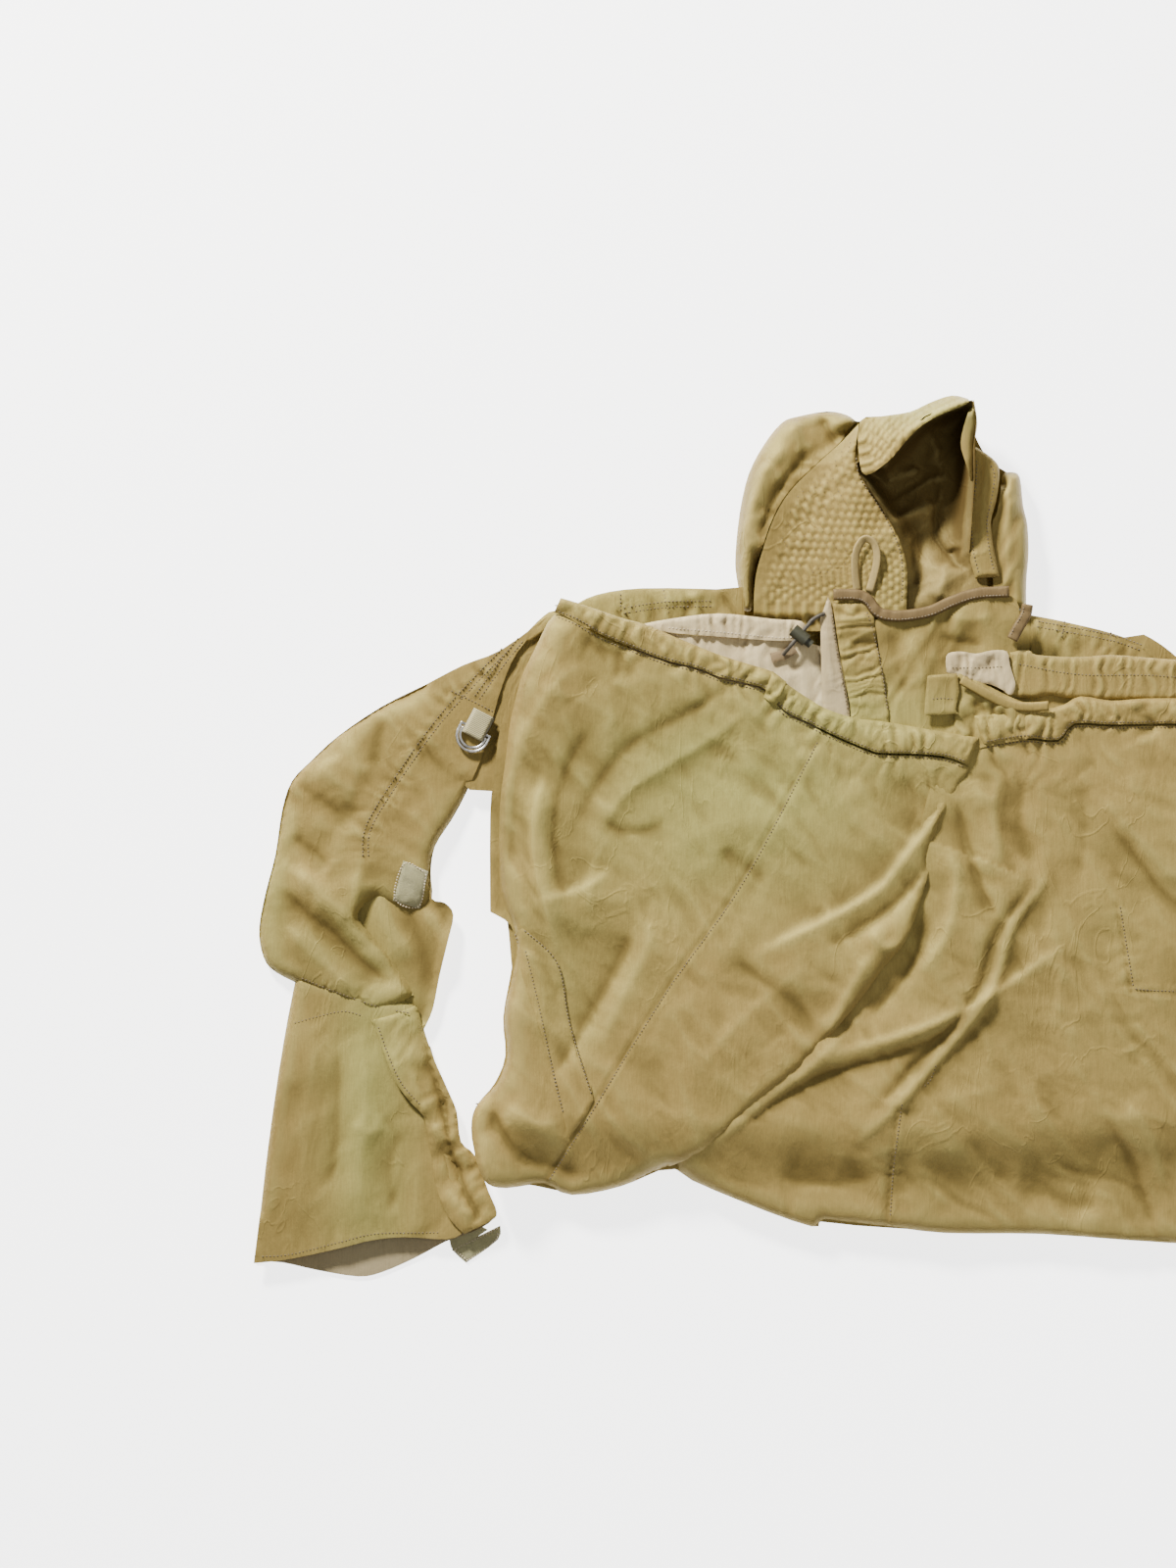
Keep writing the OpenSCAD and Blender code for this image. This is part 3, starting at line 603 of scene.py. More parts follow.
class Graph:
    """Short ways to join shader nodes."""

    def __init__(self, tree):
        self.nodes, self.links = tree.nodes, tree.links
        self.place = self.nodes.new("ShaderNodeTexCoord").outputs["Object"]

    def put(self, socket, value):
        if isinstance(value, bpy.types.NodeSocket):
            self.links.new(value, socket)
        else:
            socket.default_value = value

    def noise(self, scale, detail=3.0, rough=0.55, stretch=None, distortion=0.0):
        node = self.nodes.new("ShaderNodeTexNoise")
        vector = self.place
        if stretch is not None:
            mapping = self.nodes.new("ShaderNodeMapping")
            self.links.new(self.place, mapping.inputs["Vector"])
            mapping.inputs["Scale"].default_value = stretch[0]
            mapping.inputs["Rotation"].default_value = (0, 0, math.radians(stretch[1]))
            vector = mapping.outputs["Vector"]
        self.links.new(vector, node.inputs["Vector"])
        node.inputs["Scale"].default_value = scale
        node.inputs["Detail"].default_value = detail
        node.inputs["Roughness"].default_value = rough
        node.inputs["Distortion"].default_value = distortion
        return node.outputs["Fac"]

    def threads(self, pitch, turn, wobble=0.6):
        """Waves of one thread direction, with this pitch in metres."""
        mapping = self.nodes.new("ShaderNodeMapping")
        self.links.new(self.place, mapping.inputs["Vector"])
        mapping.inputs["Rotation"].default_value = (0, 0, math.radians(turn))
        wave = self.nodes.new("ShaderNodeTexWave")
        self.links.new(mapping.outputs["Vector"], wave.inputs["Vector"])
        wave.inputs["Scale"].default_value = math.pi / (10 * pitch)
        wave.inputs["Distortion"].default_value = wobble
        wave.inputs["Detail"].default_value = 1.0
        wave.inputs["Detail Scale"].default_value = 2.0
        return wave.outputs["Fac"]

    def math(self, how, a, b=0.0, clamp=False):
        node = self.nodes.new("ShaderNodeMath")
        node.operation = how
        node.use_clamp = clamp
        self.put(node.inputs[0], a)
        self.put(node.inputs[1], b)
        return node.outputs[0]

    def ramp(self, value, low, high, out_low=0.0, out_high=1.0):
        node = self.nodes.new("ShaderNodeMapRange")
        self.put(node.inputs["Value"], value)
        node.inputs["From Min"].default_value = low
        node.inputs["From Max"].default_value = high
        node.inputs["To Min"].default_value = out_low
        node.inputs["To Max"].default_value = out_high
        return node.outputs["Result"]

    def mix(self, factor, a, b):
        node = self.nodes.new("ShaderNodeMix")
        node.data_type = "RGBA"
        self.put(node.inputs["Factor"], factor)
        self.put(node.inputs["A"], a if isinstance(a, bpy.types.NodeSocket) else (*a, 1))
        self.put(node.inputs["B"], b if isinstance(b, bpy.types.NodeSocket) else (*b, 1))
        return node.outputs["Result"]

    def attribute(self, name):
        node = self.nodes.new("ShaderNodeAttribute")
        node.attribute_name = name
        return node.outputs["Fac"]

    def bump(self, height, strength, distance, normal=None):
        node = self.nodes.new("ShaderNodeBump")
        node.inputs["Strength"].default_value = strength
        node.inputs["Distance"].default_value = distance
        self.links.new(height, node.inputs["Height"])
        if normal is not None:
            self.links.new(normal, node.inputs["Normal"])
        return node.outputs["Normal"]


THREADS_TURN = 20.25  # the threads' angle to the cloth's own grain


def woven(name, brown, green, dark, pitch=0.00075, turn=0, crumple=1.0, ridge_wear_and_highlight=0.16):
    """Cotton cloth: two thread directions, a soft crumple, patches painted greener and lighter as painted light,
    painted shade in the hollows, and crests painted lighter as painted highlight with some rubbing.
    """
    material, shader, g = new_material(name, 0.52)
    shader.inputs["Specular Tint"].default_value = (*(min(1, c / green[0]) for c in green), 1)
    shader.inputs["Specular IOR Level"].default_value = 0.36
    fade, hollow, shade_and_tone = g.attribute("fade"), g.attribute("hollow"), g.attribute("shade_and_tone")
    # Painted light: patches painted greener and lighter where the cloth catches the light, with a random blotch.
    patch = g.math("ADD", fade, g.ramp(g.noise(7.0, 4.0), 0.3, 0.7, -0.14, 0.14), clamp=True)
    base = g.mix(patch, brown, green)
    # Painted shade, mixed with the cloth's own darker colour.
    base = g.mix(shade_and_tone, base, dark)
    mottle = g.ramp(g.noise(45.0, 5.0, 0.65), 0.3, 0.7, 0.0, 0.16)
    base = g.mix(mottle, base, dark)
    streaks = g.ramp(g.noise(900.0, 2.0, 0.6, ((1, 0.06, 1), turn)), 0.35, 0.7, 0.0, 0.22)
    base = g.mix(streaks, base, dark)
    # Painted shade in the creases and hollows.
    painted_hollow_shade = g.ramp(hollow, 0.10, 1.3, 0.0, 0.70)
    base = g.mix(painted_hollow_shade, base, dark)
    # Crests painted lighter: painted highlight, with some real rubbing of the cloth.
    worn_and_lit_ridges = g.ramp(hollow, -1.0, -0.10, ridge_wear_and_highlight, 0.0)
    base = g.mix(worn_and_lit_ridges, base, tuple(min(1, c * 1.45 + 0.03) for c in green))
    warp = g.threads(pitch, turn + THREADS_TURN)
    weft = g.threads(pitch * 1.08, turn + 90 + THREADS_TURN)
    cloth_weave = g.math("ADD", g.math("MULTIPLY", warp, 0.6), g.math("MULTIPLY", weft, 0.4))
    base = g.mix(g.ramp(cloth_weave, 0.25, 0.75, 0.16, 0.0), base, dark)
    g.links.new(base, shader.inputs["Base Color"])
    crease = g.math("ABSOLUTE", g.math("SUBTRACT", g.noise(17.0, 3.0, 0.5, ((1, 0.5, 1), 52 + turn), 1.3), 0.5))
    crease = g.ramp(crease, 0.0, 0.022, 1.0, 0.0)
    crease = g.math("MULTIPLY", crease, g.ramp(g.noise(9.0, 2.0), 0.42, 0.62, 0.0, 1.0))
    soft = g.bump(g.noise(50.0, 3.0, 0.5, ((1, 0.45, 1), 50 + turn), 0.9), 0.34 * crumple, 0.0030)
    soft = g.bump(crease, 0.30 * crumple, 0.0011, soft)
    fine = g.bump(g.noise(260.0, 4.0, 0.62, distortion=0.4), 0.40 * crumple, 0.0006, soft)
    g.links.new(g.bump(cloth_weave, 0.35, 0.00022, fine), shader.inputs["Normal"])
    return material


def thread_material(name, colour, dark):
    material, shader, g = new_material(name, 0.6, 0.2)
    twist = g.threads(0.0006, 35)
    base = g.mix(g.ramp(g.noise(130.0), 0.3, 0.7, 0.0, 0.5), colour, dark)
    g.links.new(g.mix(g.ramp(twist, 0.2, 0.8, 0.35, 0.0), base, dark), shader.inputs["Base Color"])
    g.links.new(g.bump(twist, 0.5, 0.0002), shader.inputs["Normal"])
    return material


def webbing_material(name, colour, dark, turn, rib=0.0016):
    """Flat woven strap with ribs across it."""
    material, shader, g = new_material(name, 0.75, 0.25)
    ribs, edge = g.threads(rib, turn), g.threads(rib * 0.5, turn + 90)
    weave_height = g.math("ADD", ribs, g.math("MULTIPLY", edge, 0.4))
    base = g.mix(g.ramp(g.noise(60.0, 4.0), 0.3, 0.7, 0.0, 0.45), colour, dark)
    g.links.new(g.mix(g.ramp(weave_height, 0.2, 0.8, 0.45, 0.0), base, dark), shader.inputs["Base Color"])
    g.links.new(g.bump(weave_height, 0.6, 0.0004), shader.inputs["Normal"])
    return material


def nap_material(name, colour, dark):
    """Loop fastener: a fuzzy nap of tiny loops."""
    material, shader, g = new_material(name, 0.9, 0.5)
    nap = g.noise(1500.0, 3.0, 0.7)
    base = g.mix(g.ramp(nap, 0.35, 0.65, 0.6, 0.0), colour, dark)
    g.links.new(g.mix(g.ramp(g.noise(90.0), 0.4, 0.7, 0.0, 0.3), base, dark), shader.inputs["Base Color"])
    g.links.new(g.bump(nap, 0.9, 0.0009), shader.inputs["Normal"])
    return material


def metal_material(name, colour, dark, rough):
    material, shader, g = new_material(name, rough, metallic=1.0)
    scuffs = g.noise(420.0, 5.0, 0.65)
    tarnish = g.ramp(g.noise(120.0, 4.0), 0.45, 0.75, 0.0, 0.6)
    g.links.new(g.mix(tarnish, colour, dark), shader.inputs["Base Color"])
    g.links.new(g.ramp(scuffs, 0.3, 0.7, rough - 0.1, rough + 0.18), shader.inputs["Roughness"])
    g.links.new(g.bump(scuffs, 0.25, 0.0002), shader.inputs["Normal"])
    return material


def plastic_material(name, colour, dark):
    material, shader, g = new_material(name, 0.5)
    grain = g.noise(1300.0, 3.0)
    rubbed = g.ramp(g.noise(160.0, 4.0), 0.4, 0.7, 0.0, 0.5)
    g.links.new(g.mix(rubbed, colour, dark), shader.inputs["Base Color"])
    g.links.new(g.ramp(grain, 0.3, 0.7, 0.42, 0.62), shader.inputs["Roughness"])
    g.links.new(g.bump(grain, 0.3, 0.00015), shader.inputs["Normal"])
    return material


def make_materials():
    brown, green, dark = (0.318, 0.225, 0.071), (0.322, 0.294, 0.089), (0.100, 0.066, 0.019)
    return {
        "khaki": woven("khaki_cotton", brown, green, dark),
        "khaki_turned": woven("khaki_cotton_bias", brown, green, dark, turn=38),
        "khaki_gathered": woven("khaki_cotton_gathered", brown, green, dark, crumple=1.5),
        # The hood lining is the khaki cloth made darker: painted shade for the hood's inside.
        "hood_lining": woven("hood_lining_cloth", (0.22, 0.155, 0.052), (0.26, 0.215, 0.075),
                             (0.06, 0.037, 0.011), turn=20, crumple=1.3),
        "cream": woven("cream_lining", (0.59, 0.47, 0.262), (0.61, 0.52, 0.31), (0.27, 0.195, 0.095),
                       pitch=0.0006, crumple=0.9, ridge_wear_and_highlight=0.1),
        "cuff_lining": woven("cuff_lining", (0.36, 0.285, 0.16), (0.40, 0.34, 0.20), (0.16, 0.12, 0.06),
                             pitch=0.0006),
        "tape": woven("khaki_tape", (0.36, 0.27, 0.11), (0.37, 0.31, 0.13), (0.14, 0.09, 0.03),
                      pitch=0.001, turn=60),
        "binding": woven("brown_binding", (0.160, 0.108, 0.050), (0.17, 0.13, 0.062), (0.05, 0.032, 0.014),
                         pitch=0.0009, turn=45, crumple=0.7),
        "ribbon": webbing_material("brown_ribbon", (0.25, 0.168, 0.072), (0.10, 0.062, 0.025), -40, 0.0010),
        "webbing": webbing_material("webbing", (0.42, 0.372, 0.188), (0.18, 0.148, 0.065), -117.6),
        "nap": nap_material("loop_fastener", (0.40, 0.372, 0.185), (0.19, 0.165, 0.07)),
        "elastic": webbing_material("elastic", (0.70, 0.66, 0.56), (0.42, 0.38, 0.30), 0, 0.0022),
        "zip_tape": webbing_material("zip_tape", (0.27, 0.21, 0.10), (0.11, 0.08, 0.035), 90, 0.0011),
        "teeth": metal_material("zip_teeth", (0.60, 0.50, 0.32), (0.22, 0.17, 0.10), 0.38),
        "steel": metal_material("steel", (0.62, 0.61, 0.58), (0.25, 0.235, 0.21), 0.32),
        "plastic": plastic_material("lock_plastic", (0.040, 0.040, 0.022), (0.014, 0.014, 0.009)),
        "cord": thread_material("drawcord", (0.060, 0.046, 0.024), (0.02, 0.015, 0.008)),
        "thread": thread_material("khaki_thread", (0.165, 0.115, 0.042), (0.07, 0.048, 0.018)),
        "cream_thread": thread_material("cream_thread", (0.60, 0.50, 0.34), (0.36, 0.28, 0.17)),
        "binding_thread": thread_material("binding_thread", (0.23, 0.165, 0.085), (0.1, 0.07, 0.035)),
    }


# ---- Jacket ------------------------------------------------------------------

def under_sleeves(loop):
    """The body's outline, drawn out a little at the armholes so that it runs in under the sleeves."""
    loop = loop.copy()
    loop[(loop[:, 0] < -290) & (loop[:, 1] > 46) & (loop[:, 1] < 216), 0] -= 14
    armhole = (loop[:, 0] > 225) & (loop[:, 1] > 0) & (loop[:, 1] < 185)
    loop[armhole] += (10, 6)
    return loop


ZIP_X = 50  # where the front zip runs
ZIP_CALM = 22  # and how far from it the cloth lies flat
YOKE_SEAMS = [[(-240, 206), (-200, 212), (-155, 213)], [(140, 195), (210, 182), (240, 172)]]
YOKE_CROSS_SEAMS = [[(-201, 232), (-195, 203)], [(170, 203), (165, 180)], [(212, 193), (210, 170)]]
YOKE_ENDS = [[YOKE_CROSS_SEAMS[0], [(-240, 228), (-240, 206)]], YOKE_CROSS_SEAMS[1:]]


def jacket_front(side):
    """A front panel with its hem, placket and pocket; gives its cloth and the paths to stitch."""
    loop = under_sleeves(outline(f"jacket_front_{side}"))
    edge, low = (loop[:, 0].min() if side == "left" else loop[:, 0].max()), loop[:, 1].min()

    def at(share, y):
        return ZIP_X + share * (edge - ZIP_X), y

    hem = [at(share, low + 17) for share in (0.1, 0.4, 0.7, 0.97)]
    placket = [at(0.16, 190), at(0.16, low + 18)]
    pocket = [at(0.32, 40), at(0.72, 52), at(0.74, -70), at(0.33, -82), at(0.32, 40)]
    front = Cloth(
        loop, 11, wrinkles=[(120, 50, 2.6, 62), (52, -55, 2.0, 65), (24, 80, 0.9, 63)],
        roll=[(16, 4.0, lambda x, y: abs(x - ZIP_X) > 40 and y > 196), (9, 4.5, lambda x, y: y < low + 4)],
        folds=[([(-150, 234), (-175, 222), (-210, 215)], 2.0, 6, 12), ([(-205, 232), (-198, 205)], -1.0, 3, 3),
               ([at(0.9, 150), at(0.6, 60), at(0.35, low + 40)], 2.6, 6, 22),
               ([at(0.95, 20), at(0.7, -40), at(0.6, low + 30)], 2.4, 16, 7),
               ([at(0.3, 120), at(0.4, 20), at(0.25, -60)], -2.0, 9, 14)],
        puckers=[(YOKE_SEAMS[0], 0.7, 8, 12, 5), (YOKE_SEAMS[1], 0.8, 8, 12, 6), (hem, 1.5, 13, 26, 60)],
        calm=[([(ZIP_X, 200), (ZIP_X, low)], ZIP_CALM)], seams=[placket],
    )
    lay(f"jacket_front_{side}", front, "khaki", "jacket", step=5)
    return front, [(front, hem, 0), (front, hem, 3), (front, pocket, 0), (front, pocket, 5), (front, placket, 2.6)]


def jacket_body():
    back = Cloth(under_sleeves(outline("jacket_back")), 2, wrinkles=[(50, 60, 0.5, 61)],
                 roll=(14, -4.5, lambda x, y: y > 196))
    lay("jacket_back", back, "khaki_turned", "jacket", step=7)
    fronts, rows = [], []
    for side in ("left", "right"):
        front, paths = jacket_front(side)
        fronts.append(front)
        rows += paths
    for k, (base, loop) in enumerate(zip(fronts, left_to_right("shoulder_yokes"))):
        if k == 0:  # the left yoke runs in under the hood
            at_hood = loop[:, 0] > -162
            loop[at_hood] = np.column_stack([np.full(at_hood.sum(), -126.0), loop[at_hood, 1] + 4])
        yoke = Over(loop, base, 2.4, wrinkles=[(22, 80, 1.6, 64), (11, 95, 0.6, 65)], seams=YOKE_CROSS_SEAMS,
                    puckers=[(YOKE_SEAMS[0], 1.5, 9, 12, 7), (YOKE_SEAMS[1], 1.5, 9, 12, 8)])
        lay(f"shoulder_yoke_{k + 1}", yoke, "khaki_turned", "jacket", step=3, node="shoulder_yokes")
        rows += [(yoke, YOKE_SEAMS[k], 0), (yoke, YOKE_SEAMS[k], 5)] + [(yoke, end, 0) for end in YOKE_ENDS[k]]
    stitch_row(rows, "shoulder_stitches", "jacket", "thread")


class Over(Cloth):
    """A layer that lies on another one and follows it, a little above."""

    def __init__(self, loop, base, gap, **more):
        super().__init__(loop, 0, **more)
        self.base, self.gap = base, gap

    def height(self, points):
        points = np.atleast_2d(np.asarray(points, float))
        return self.base.height(points) + self.gap + super().height(points)


SLEEVE_SEAMS = [
    [(-345, 175), (-390, 128), (-415, 98), (-445, 55), (-472, 10), (-475, -20)],
    [(-330, 185), (-350, 160), (-373, 128)],
    [(-400, 135), (-385, 128), (-355, 113)],
]
SLEEVE_FOLDS = [
    ([(-546, 56), (-520, 36), (-500, 25), (-480, 10)], -3.2, 9, 16),
    ([(-520, 70), (-500, 50), (-478, 40)], 2.2, 12, 10),
    ([(-455, 112), (-462, 95), (-465, 60)], -1.8, 5, 7),
    ([(-545, 5), (-525, -12), (-505, -28)], -2.4, 6, 9),
    ([(-558, -40), (-530, -70), (-505, -90), (-470, -122), (-440, -140)], -3.8, 7, 11),
    ([(-545, -28), (-520, -50), (-500, -66), (-475, -85)], 3.6, 9, 8),
    ([(-528, -48), (-500, -75), (-470, -100)], 2.4, 6, 6),
    ([(-552, -75), (-530, -100), (-500, -128), (-480, -146)], 3.0, 10, 9),
    ([(-475, -10), (-482, -40), (-478, -80), (-458, -110), (-440, -133)], 3.8, 7, 9),
    ([(-466, -40), (-462, -66), (-440, -100), (-426, -130)], -5.0, 8, 14),
    ([(-400, -95), (-425, -70), (-440, -60)], -2.5, 7, 8),
    ([(-395, -60), (-398, -100), (-408, -140)], 2.2, 8, 8),
    ([(-440, 30), (-410, 0), (-392, -20)], 1.6, 8, 8),
    ([(-430, 90), (-400, 60), (-376, 50)], -1.6, 7, 9),
    ([(-505, 110), (-488, 80), (-480, 50)], 1.6, 9, 9),
    ([(-400, 168), (-425, 140), (-450, 120)], -1.5, 8, 9),
]
CUFF_FOLDS = [
    ([(-530, -160), (-522, -230), (-530, -300), (-538, -370)], 1.6, 18, 22),
    ([(-478, -175), (-476, -240), (-480, -310), (-478, -366)], 2.6, 16, 18),
    ([(-500, -190), (-502, -260), (-508, -340)], -2.6, 10, 12),
    ([(-440, -262), (-452, -300), (-450, -350)], -2.0, 9, 10),
    ([(-490, -262), (-470, -272), (-452, -262)], 1.8, 8, 8),
    ([(-560, -170), (-548, -240)], 1.2, 10, 10),
]
FLAP_FOLDS = [
    ([(-436, -180), (-430, -225), (-414, -262)], 2.5, 8, 10),
    ([(-452, -190), (-440, -230), (-418, -262)], 1.6, 5, 6),
    ([(-420, -200), (-408, -232), (-396, -262)], -2.0, 5, 6),
    ([(-410, -280), (-396, -300), (-386, -320)], -2.4, 5, 8),
    ([(-402, -320), (-388, -340), (-372, -352)], 2.0, 6, 7),
    ([(-414, -262), (-404, -275), (-388, -278)], 1.8, 5, 5),
    ([(-400, -300), (-384, -305), (-372, -300)], -1.6, 4, 5),
]


def sleeve(side):
    mirror = side == "right"
    shift = 20 if mirror else 0
    under, top = f"sleeve_{side}_under", f"sleeve_{side}_top"
    low = Cloth(under, 2.6, wrinkles=[(60, 80, 0.5, 70 + shift)], roll=(12, -5.2, None), mirror=mirror,
                folds=[([(-462, -30), (-455, -75), (-430, -118)], 3.4, 7, 8),
                       ([(-440, -60), (-425, -95), (-412, -150)], -1.5, 5, 7),
                       ([(-425, -60), (-405, -90), (-398, -130)], 3.0, 7, 7)],
                extra=lambda p: 4.5 * np.exp(-(((p[:, 0] + 425) / 45) ** 2 + ((p[:, 1] + 95) / 55) ** 2)))
    lay(under, low, "khaki_turned", "jacket", step=5)
    high = Cloth(
        top, 14.4, folds=SLEEVE_FOLDS,
        wrinkles=[(60, -50, 2.4, 71 + shift), (27, -35, 1.1, 72 + shift), (11, 20, 0.4, 73 + shift)],
        puckers=[(SLEEVE_SEAMS[0], 1.5, 10, 12, 9), (SLEEVE_SEAMS[2], 1.0, 8, 10, 10),
                 ([(-545, -136), (-500, -148), (-470, -160), (-425, -172)], 1.2, 12, 14, 11)],
        seams=SLEEVE_SEAMS, roll=(17, 8.4, lambda x, y: y < 40 or x < -0.58 * y - 345 or y > 230), mirror=mirror,
        caps=[((-374, 98), 24, 14.2)],
    )
    lay(top, high, "khaki", "jacket", step=3.6)
    low_cuff, high_cuff, fold_node = f"cuff_{side}_under", f"cuff_{side}_top", f"cuff_{side}_fold"
    under_cuff = Cloth(low_cuff, 2, wrinkles=[(50, 80, 0.5, 75 + shift)],
                       roll=(9, -3.6, lambda x, y: y > -365), mirror=mirror)
    lay(low_cuff, under_cuff, "cuff_lining", "jacket", step=4)
    front = Cloth(
        high_cuff, 11, folds=CUFF_FOLDS,
        wrinkles=[(56, 85, 1.7, 76 + shift), (22, 60, 0.8, 77 + shift)],
        puckers=[([(-578, -388), (-520, -379), (-465, -367), (-400, -366)], 0.6, 8, 7, 12)],
        roll=(12, 5.6, lambda x, y: y > -352), mirror=mirror,
    )
    lay(high_cuff, front, "khaki", "jacket", step=3.6)
    flap = Over(fold_node, front, 2.6, folds=FLAP_FOLDS,
                wrinkles=[(26, 75, 1.6, 79 + shift), (13, 50, 1.1, 78 + shift)],
                puckers=[([(-400, -231), (-391, -252), (-387, -280), (-362, -325)], 1.1, 10, 12, 13)],
                roll=(3.6, 1.3, None), mirror=mirror)
    lay(fold_node, flap, "khaki", "jacket", step=3)
    rows = []
    for path in SLEEVE_SEAMS[:2]:
        rows += [(high, path, 2.6), (high, path, -2.6)]
    rows.append((high, SLEEVE_SEAMS[2], 1.8))
    rows.append((high, [(-537, -128), (-500, -143), (-462, -156), (-432, -162)], 0))
    rows.append((front, [(-574, -386), (-545, -384), (-500, -373), (-465, -365), (-405, -364)], 0))
    rows.append((front, [(-544, -172), (-520, -165), (-495, -160), (-478, -164)], 0))
    rows.append((flap, [(-468, -172), (-458, -200), (-445, -228), (-426, -250)], 4))
    stitch_row(rows, f"sleeve_{side}_stitches", "jacket", "thread")
    return high


def elbow_patches(sleeves):
    for side, loop in zip(sleeves, left_to_right("elbow_patches")):
        patch = Over(loop, sleeves[side], 2.2, roll=(2.5, 1.0, None), mirror=side == "right")
        lay(f"elbow_patch_{side}", patch, "nap", "jacket", step=2.2, thick=2.2, node="elbow_patches")
        stitch_round(patch, f"elbow_patch_{side}_stitches", "jacket", 0.88)


TAB_REACH = 7.0  # the tab's outline is sewn on where it comes this close to the cuff
TAB_CLEARANCE = 1.9  # and its sewn base ends this far from the part that peels


def cuff_tabs():
    """Tabs that peel up at the cuffs, each with a sewn base that stays on the jacket."""
    for side in ("left", "right"):
        node, mirror = f"cuff_tab_{side}", side == "right"
        tab = Cloth(node, 1.6, wrinkles=[(14, 30, 0.25, 81)], roll=(3, 1.0, None), mirror=mirror)
        lay(node, tab, "nap", node, step=2.2, thick=2.4)
        cuff, ends = dense(outline(f"cuff_{side}_top"), 1.0), dense(outline(node), 1.0)
        gap = np.hypot(*(ends[:, None] - cuff[None]).transpose(2, 0, 1))
        near = gap.min(1) < gap.min() + TAB_REACH
        sewn = cuff[gap.argmin(1)[near]]
        way = sewn - ends[near]
        clear = ends[near] + way * np.minimum(TAB_CLEARANCE / gap.min(1)[near], 0.8)[:, None]
        base = Cloth(hull(np.vstack([clear, sewn])), 1.4, mirror=mirror)
        lay(f"{node}_base", base, "nap", "jacket", step=2, node="")
        stitch_round(tab, f"{node}_stitches", node, 0.86)


# ---- Swept strips ------------------------------------------------------------


def tube(name, path, across, sections, material, body, node):
    """A closed tube along a path; sections holds, for each of its points, the ring's offsets across and up."""
    t = np.gradient(path, axis=0)
    t /= np.linalg.norm(t, axis=1)[:, None]
    across = across - (across * t).sum(1)[:, None] * t
    across /= np.linalg.norm(across, axis=1)[:, None]
    up = np.cross(t, across)
    verts = np.vstack([[p + a * u + h * v for a, h in ring] for p, u, v, ring in zip(path, across, up, sections)])
    n = len(sections[0])
    faces = [(i + a, i + (a + 1) % n, i + n + (a + 1) % n, i + n + a)
             for i in range(0, (len(path) - 1) * n, n) for a in range(n)]
    faces += [tuple(reversed(range(n))), tuple((len(path) - 1) * n + a for a in range(n))]
    piece = build(name, (verts - (*LAYOUT_ORIGIN, 0)) * MM, faces, material)
    finish_piece(piece, body, node)
    return piece


def sweep(name, path, across, width, thick, material, body, node, slot=None, crown=0.0, held="folded"):
    """A strap with rounded edges along a path; across gives the width's direction at each point."""
    upper = [(1 - k / 3, thick / 2) for k in range(7)]
    lower = [(k / 3 - 1, -thick / 2) for k in range(1, 6)]
    ring = [(s * width / 2, half * math.sqrt(max(0.0, 1 - abs(s) ** 6)) + crown * (1 - s * s))
            for s, half in upper + lower]
    piece = tube(f"{name}_strip", path, across, [ring] * len(path), material, body, node)


def strap(name, line, z, lean, width, thick, material, body, node, **more):
    """A strap along a line in the plane, at heights z; lean tips its width up towards its left edge."""
    t = np.gradient(line, axis=0)
    across = np.column_stack([-t[:, 1], t[:, 0], np.full(len(t), lean)])
    sweep(name, np.column_stack([line, z]), across, width, thick, material, body, node, **more)


TAB_AT = np.array([-374.0, 98.0])
TAB_TURN = math.radians(-117.6)
TAB_LEVEL = 18.5
TAB_BEND = 2.15  # the radius that the webbing folds round the rings' bars at


def ring_tabs():
    """Webbing that folds round both rings' straight bars, its tail sewn to the sleeve."""
    bend = np.linspace(0.2, math.pi - 0.2, 9)
    u = np.concatenate([np.linspace(-19, 3, 16), 3 + TAB_BEND * np.sin(bend), np.linspace(3, -19, 16)])
    z = np.concatenate([np.full(16, TAB_BEND), TAB_BEND * np.cos(bend), np.full(16, -TAB_BEND)])
    direction = np.array([math.cos(TAB_TURN), math.sin(TAB_TURN)])
    flat = TAB_AT + u[:, None] * direction
    across = np.array([-direction[1], direction[0]])
    for side in ("left", "right"):
        if side == "right":
            flat, across = right(flat), right(TAB_AT + across)[0] - right(TAB_AT)[0]
        sweep(f"ring_tab_{side}", np.column_stack([flat, TAB_LEVEL + z]), np.tile([*across, 0], (len(flat), 1)),
              21.5, 1.3, "webbing", "jacket", "ring_tabs", slot="webbing")


# ---- Hood --------------------------------------------------------------------

BAND_OUTER = [(-118, 210), (-116, 240), (-109, 266), (-99, 294), (-84, 319), (-59, 344), (-37, 364), (-21, 381)]
BAND_INNER = [(22, 210), (23, 240), (19, 264), (10, 285), (0, 300), (-18, 328), (-25, 350), (-21, 372)]
TOP_INNER = [(-22, 333), (0, 342), (18, 365), (35, 379), (52, 389), (78, 400)]
TOP_OUTER = [(-20, 384), (0, 389), (25, 392), (45, 401), (64, 407), (82, 402)]


def quilting(points, cell_x=8.6, cell_y=6.0, depth=2.5):
    """Honeycomb quilting: staggered puffed cells with stitched lines between them."""
    d, _, s, _ = along(points, curve(BAND_INNER))
    rows = d / cell_y
    n = np.floor(rows)
    u = s / cell_x + 0.5 * (n % 2)
    fu, fv = u - np.floor(u), rows - n
    puff = (np.sin(math.pi * fu) * np.sin(math.pi * fv)) ** 0.6
    patchy = 0.75 + 0.35 * noise(points[:, 0] / 28, points[:, 1] / 28, 17)
    return depth * (puff - 0.45) * patchy


def band_slope(points):
    """The face band stands higher towards the face opening."""
    d = along(points, curve(BAND_INNER))[0]
    e = along(points, curve(BAND_OUTER))[0]
    share = e / np.maximum(d + e, 1)
    tucked = 7 * smoothstep((208 - points[:, 1]) / 12)
    return 9.5 * smoothstep(share) - 3.0 - tucked + quilting(points) * (0.15 + 0.85 * smoothstep((e - 3) / 16))


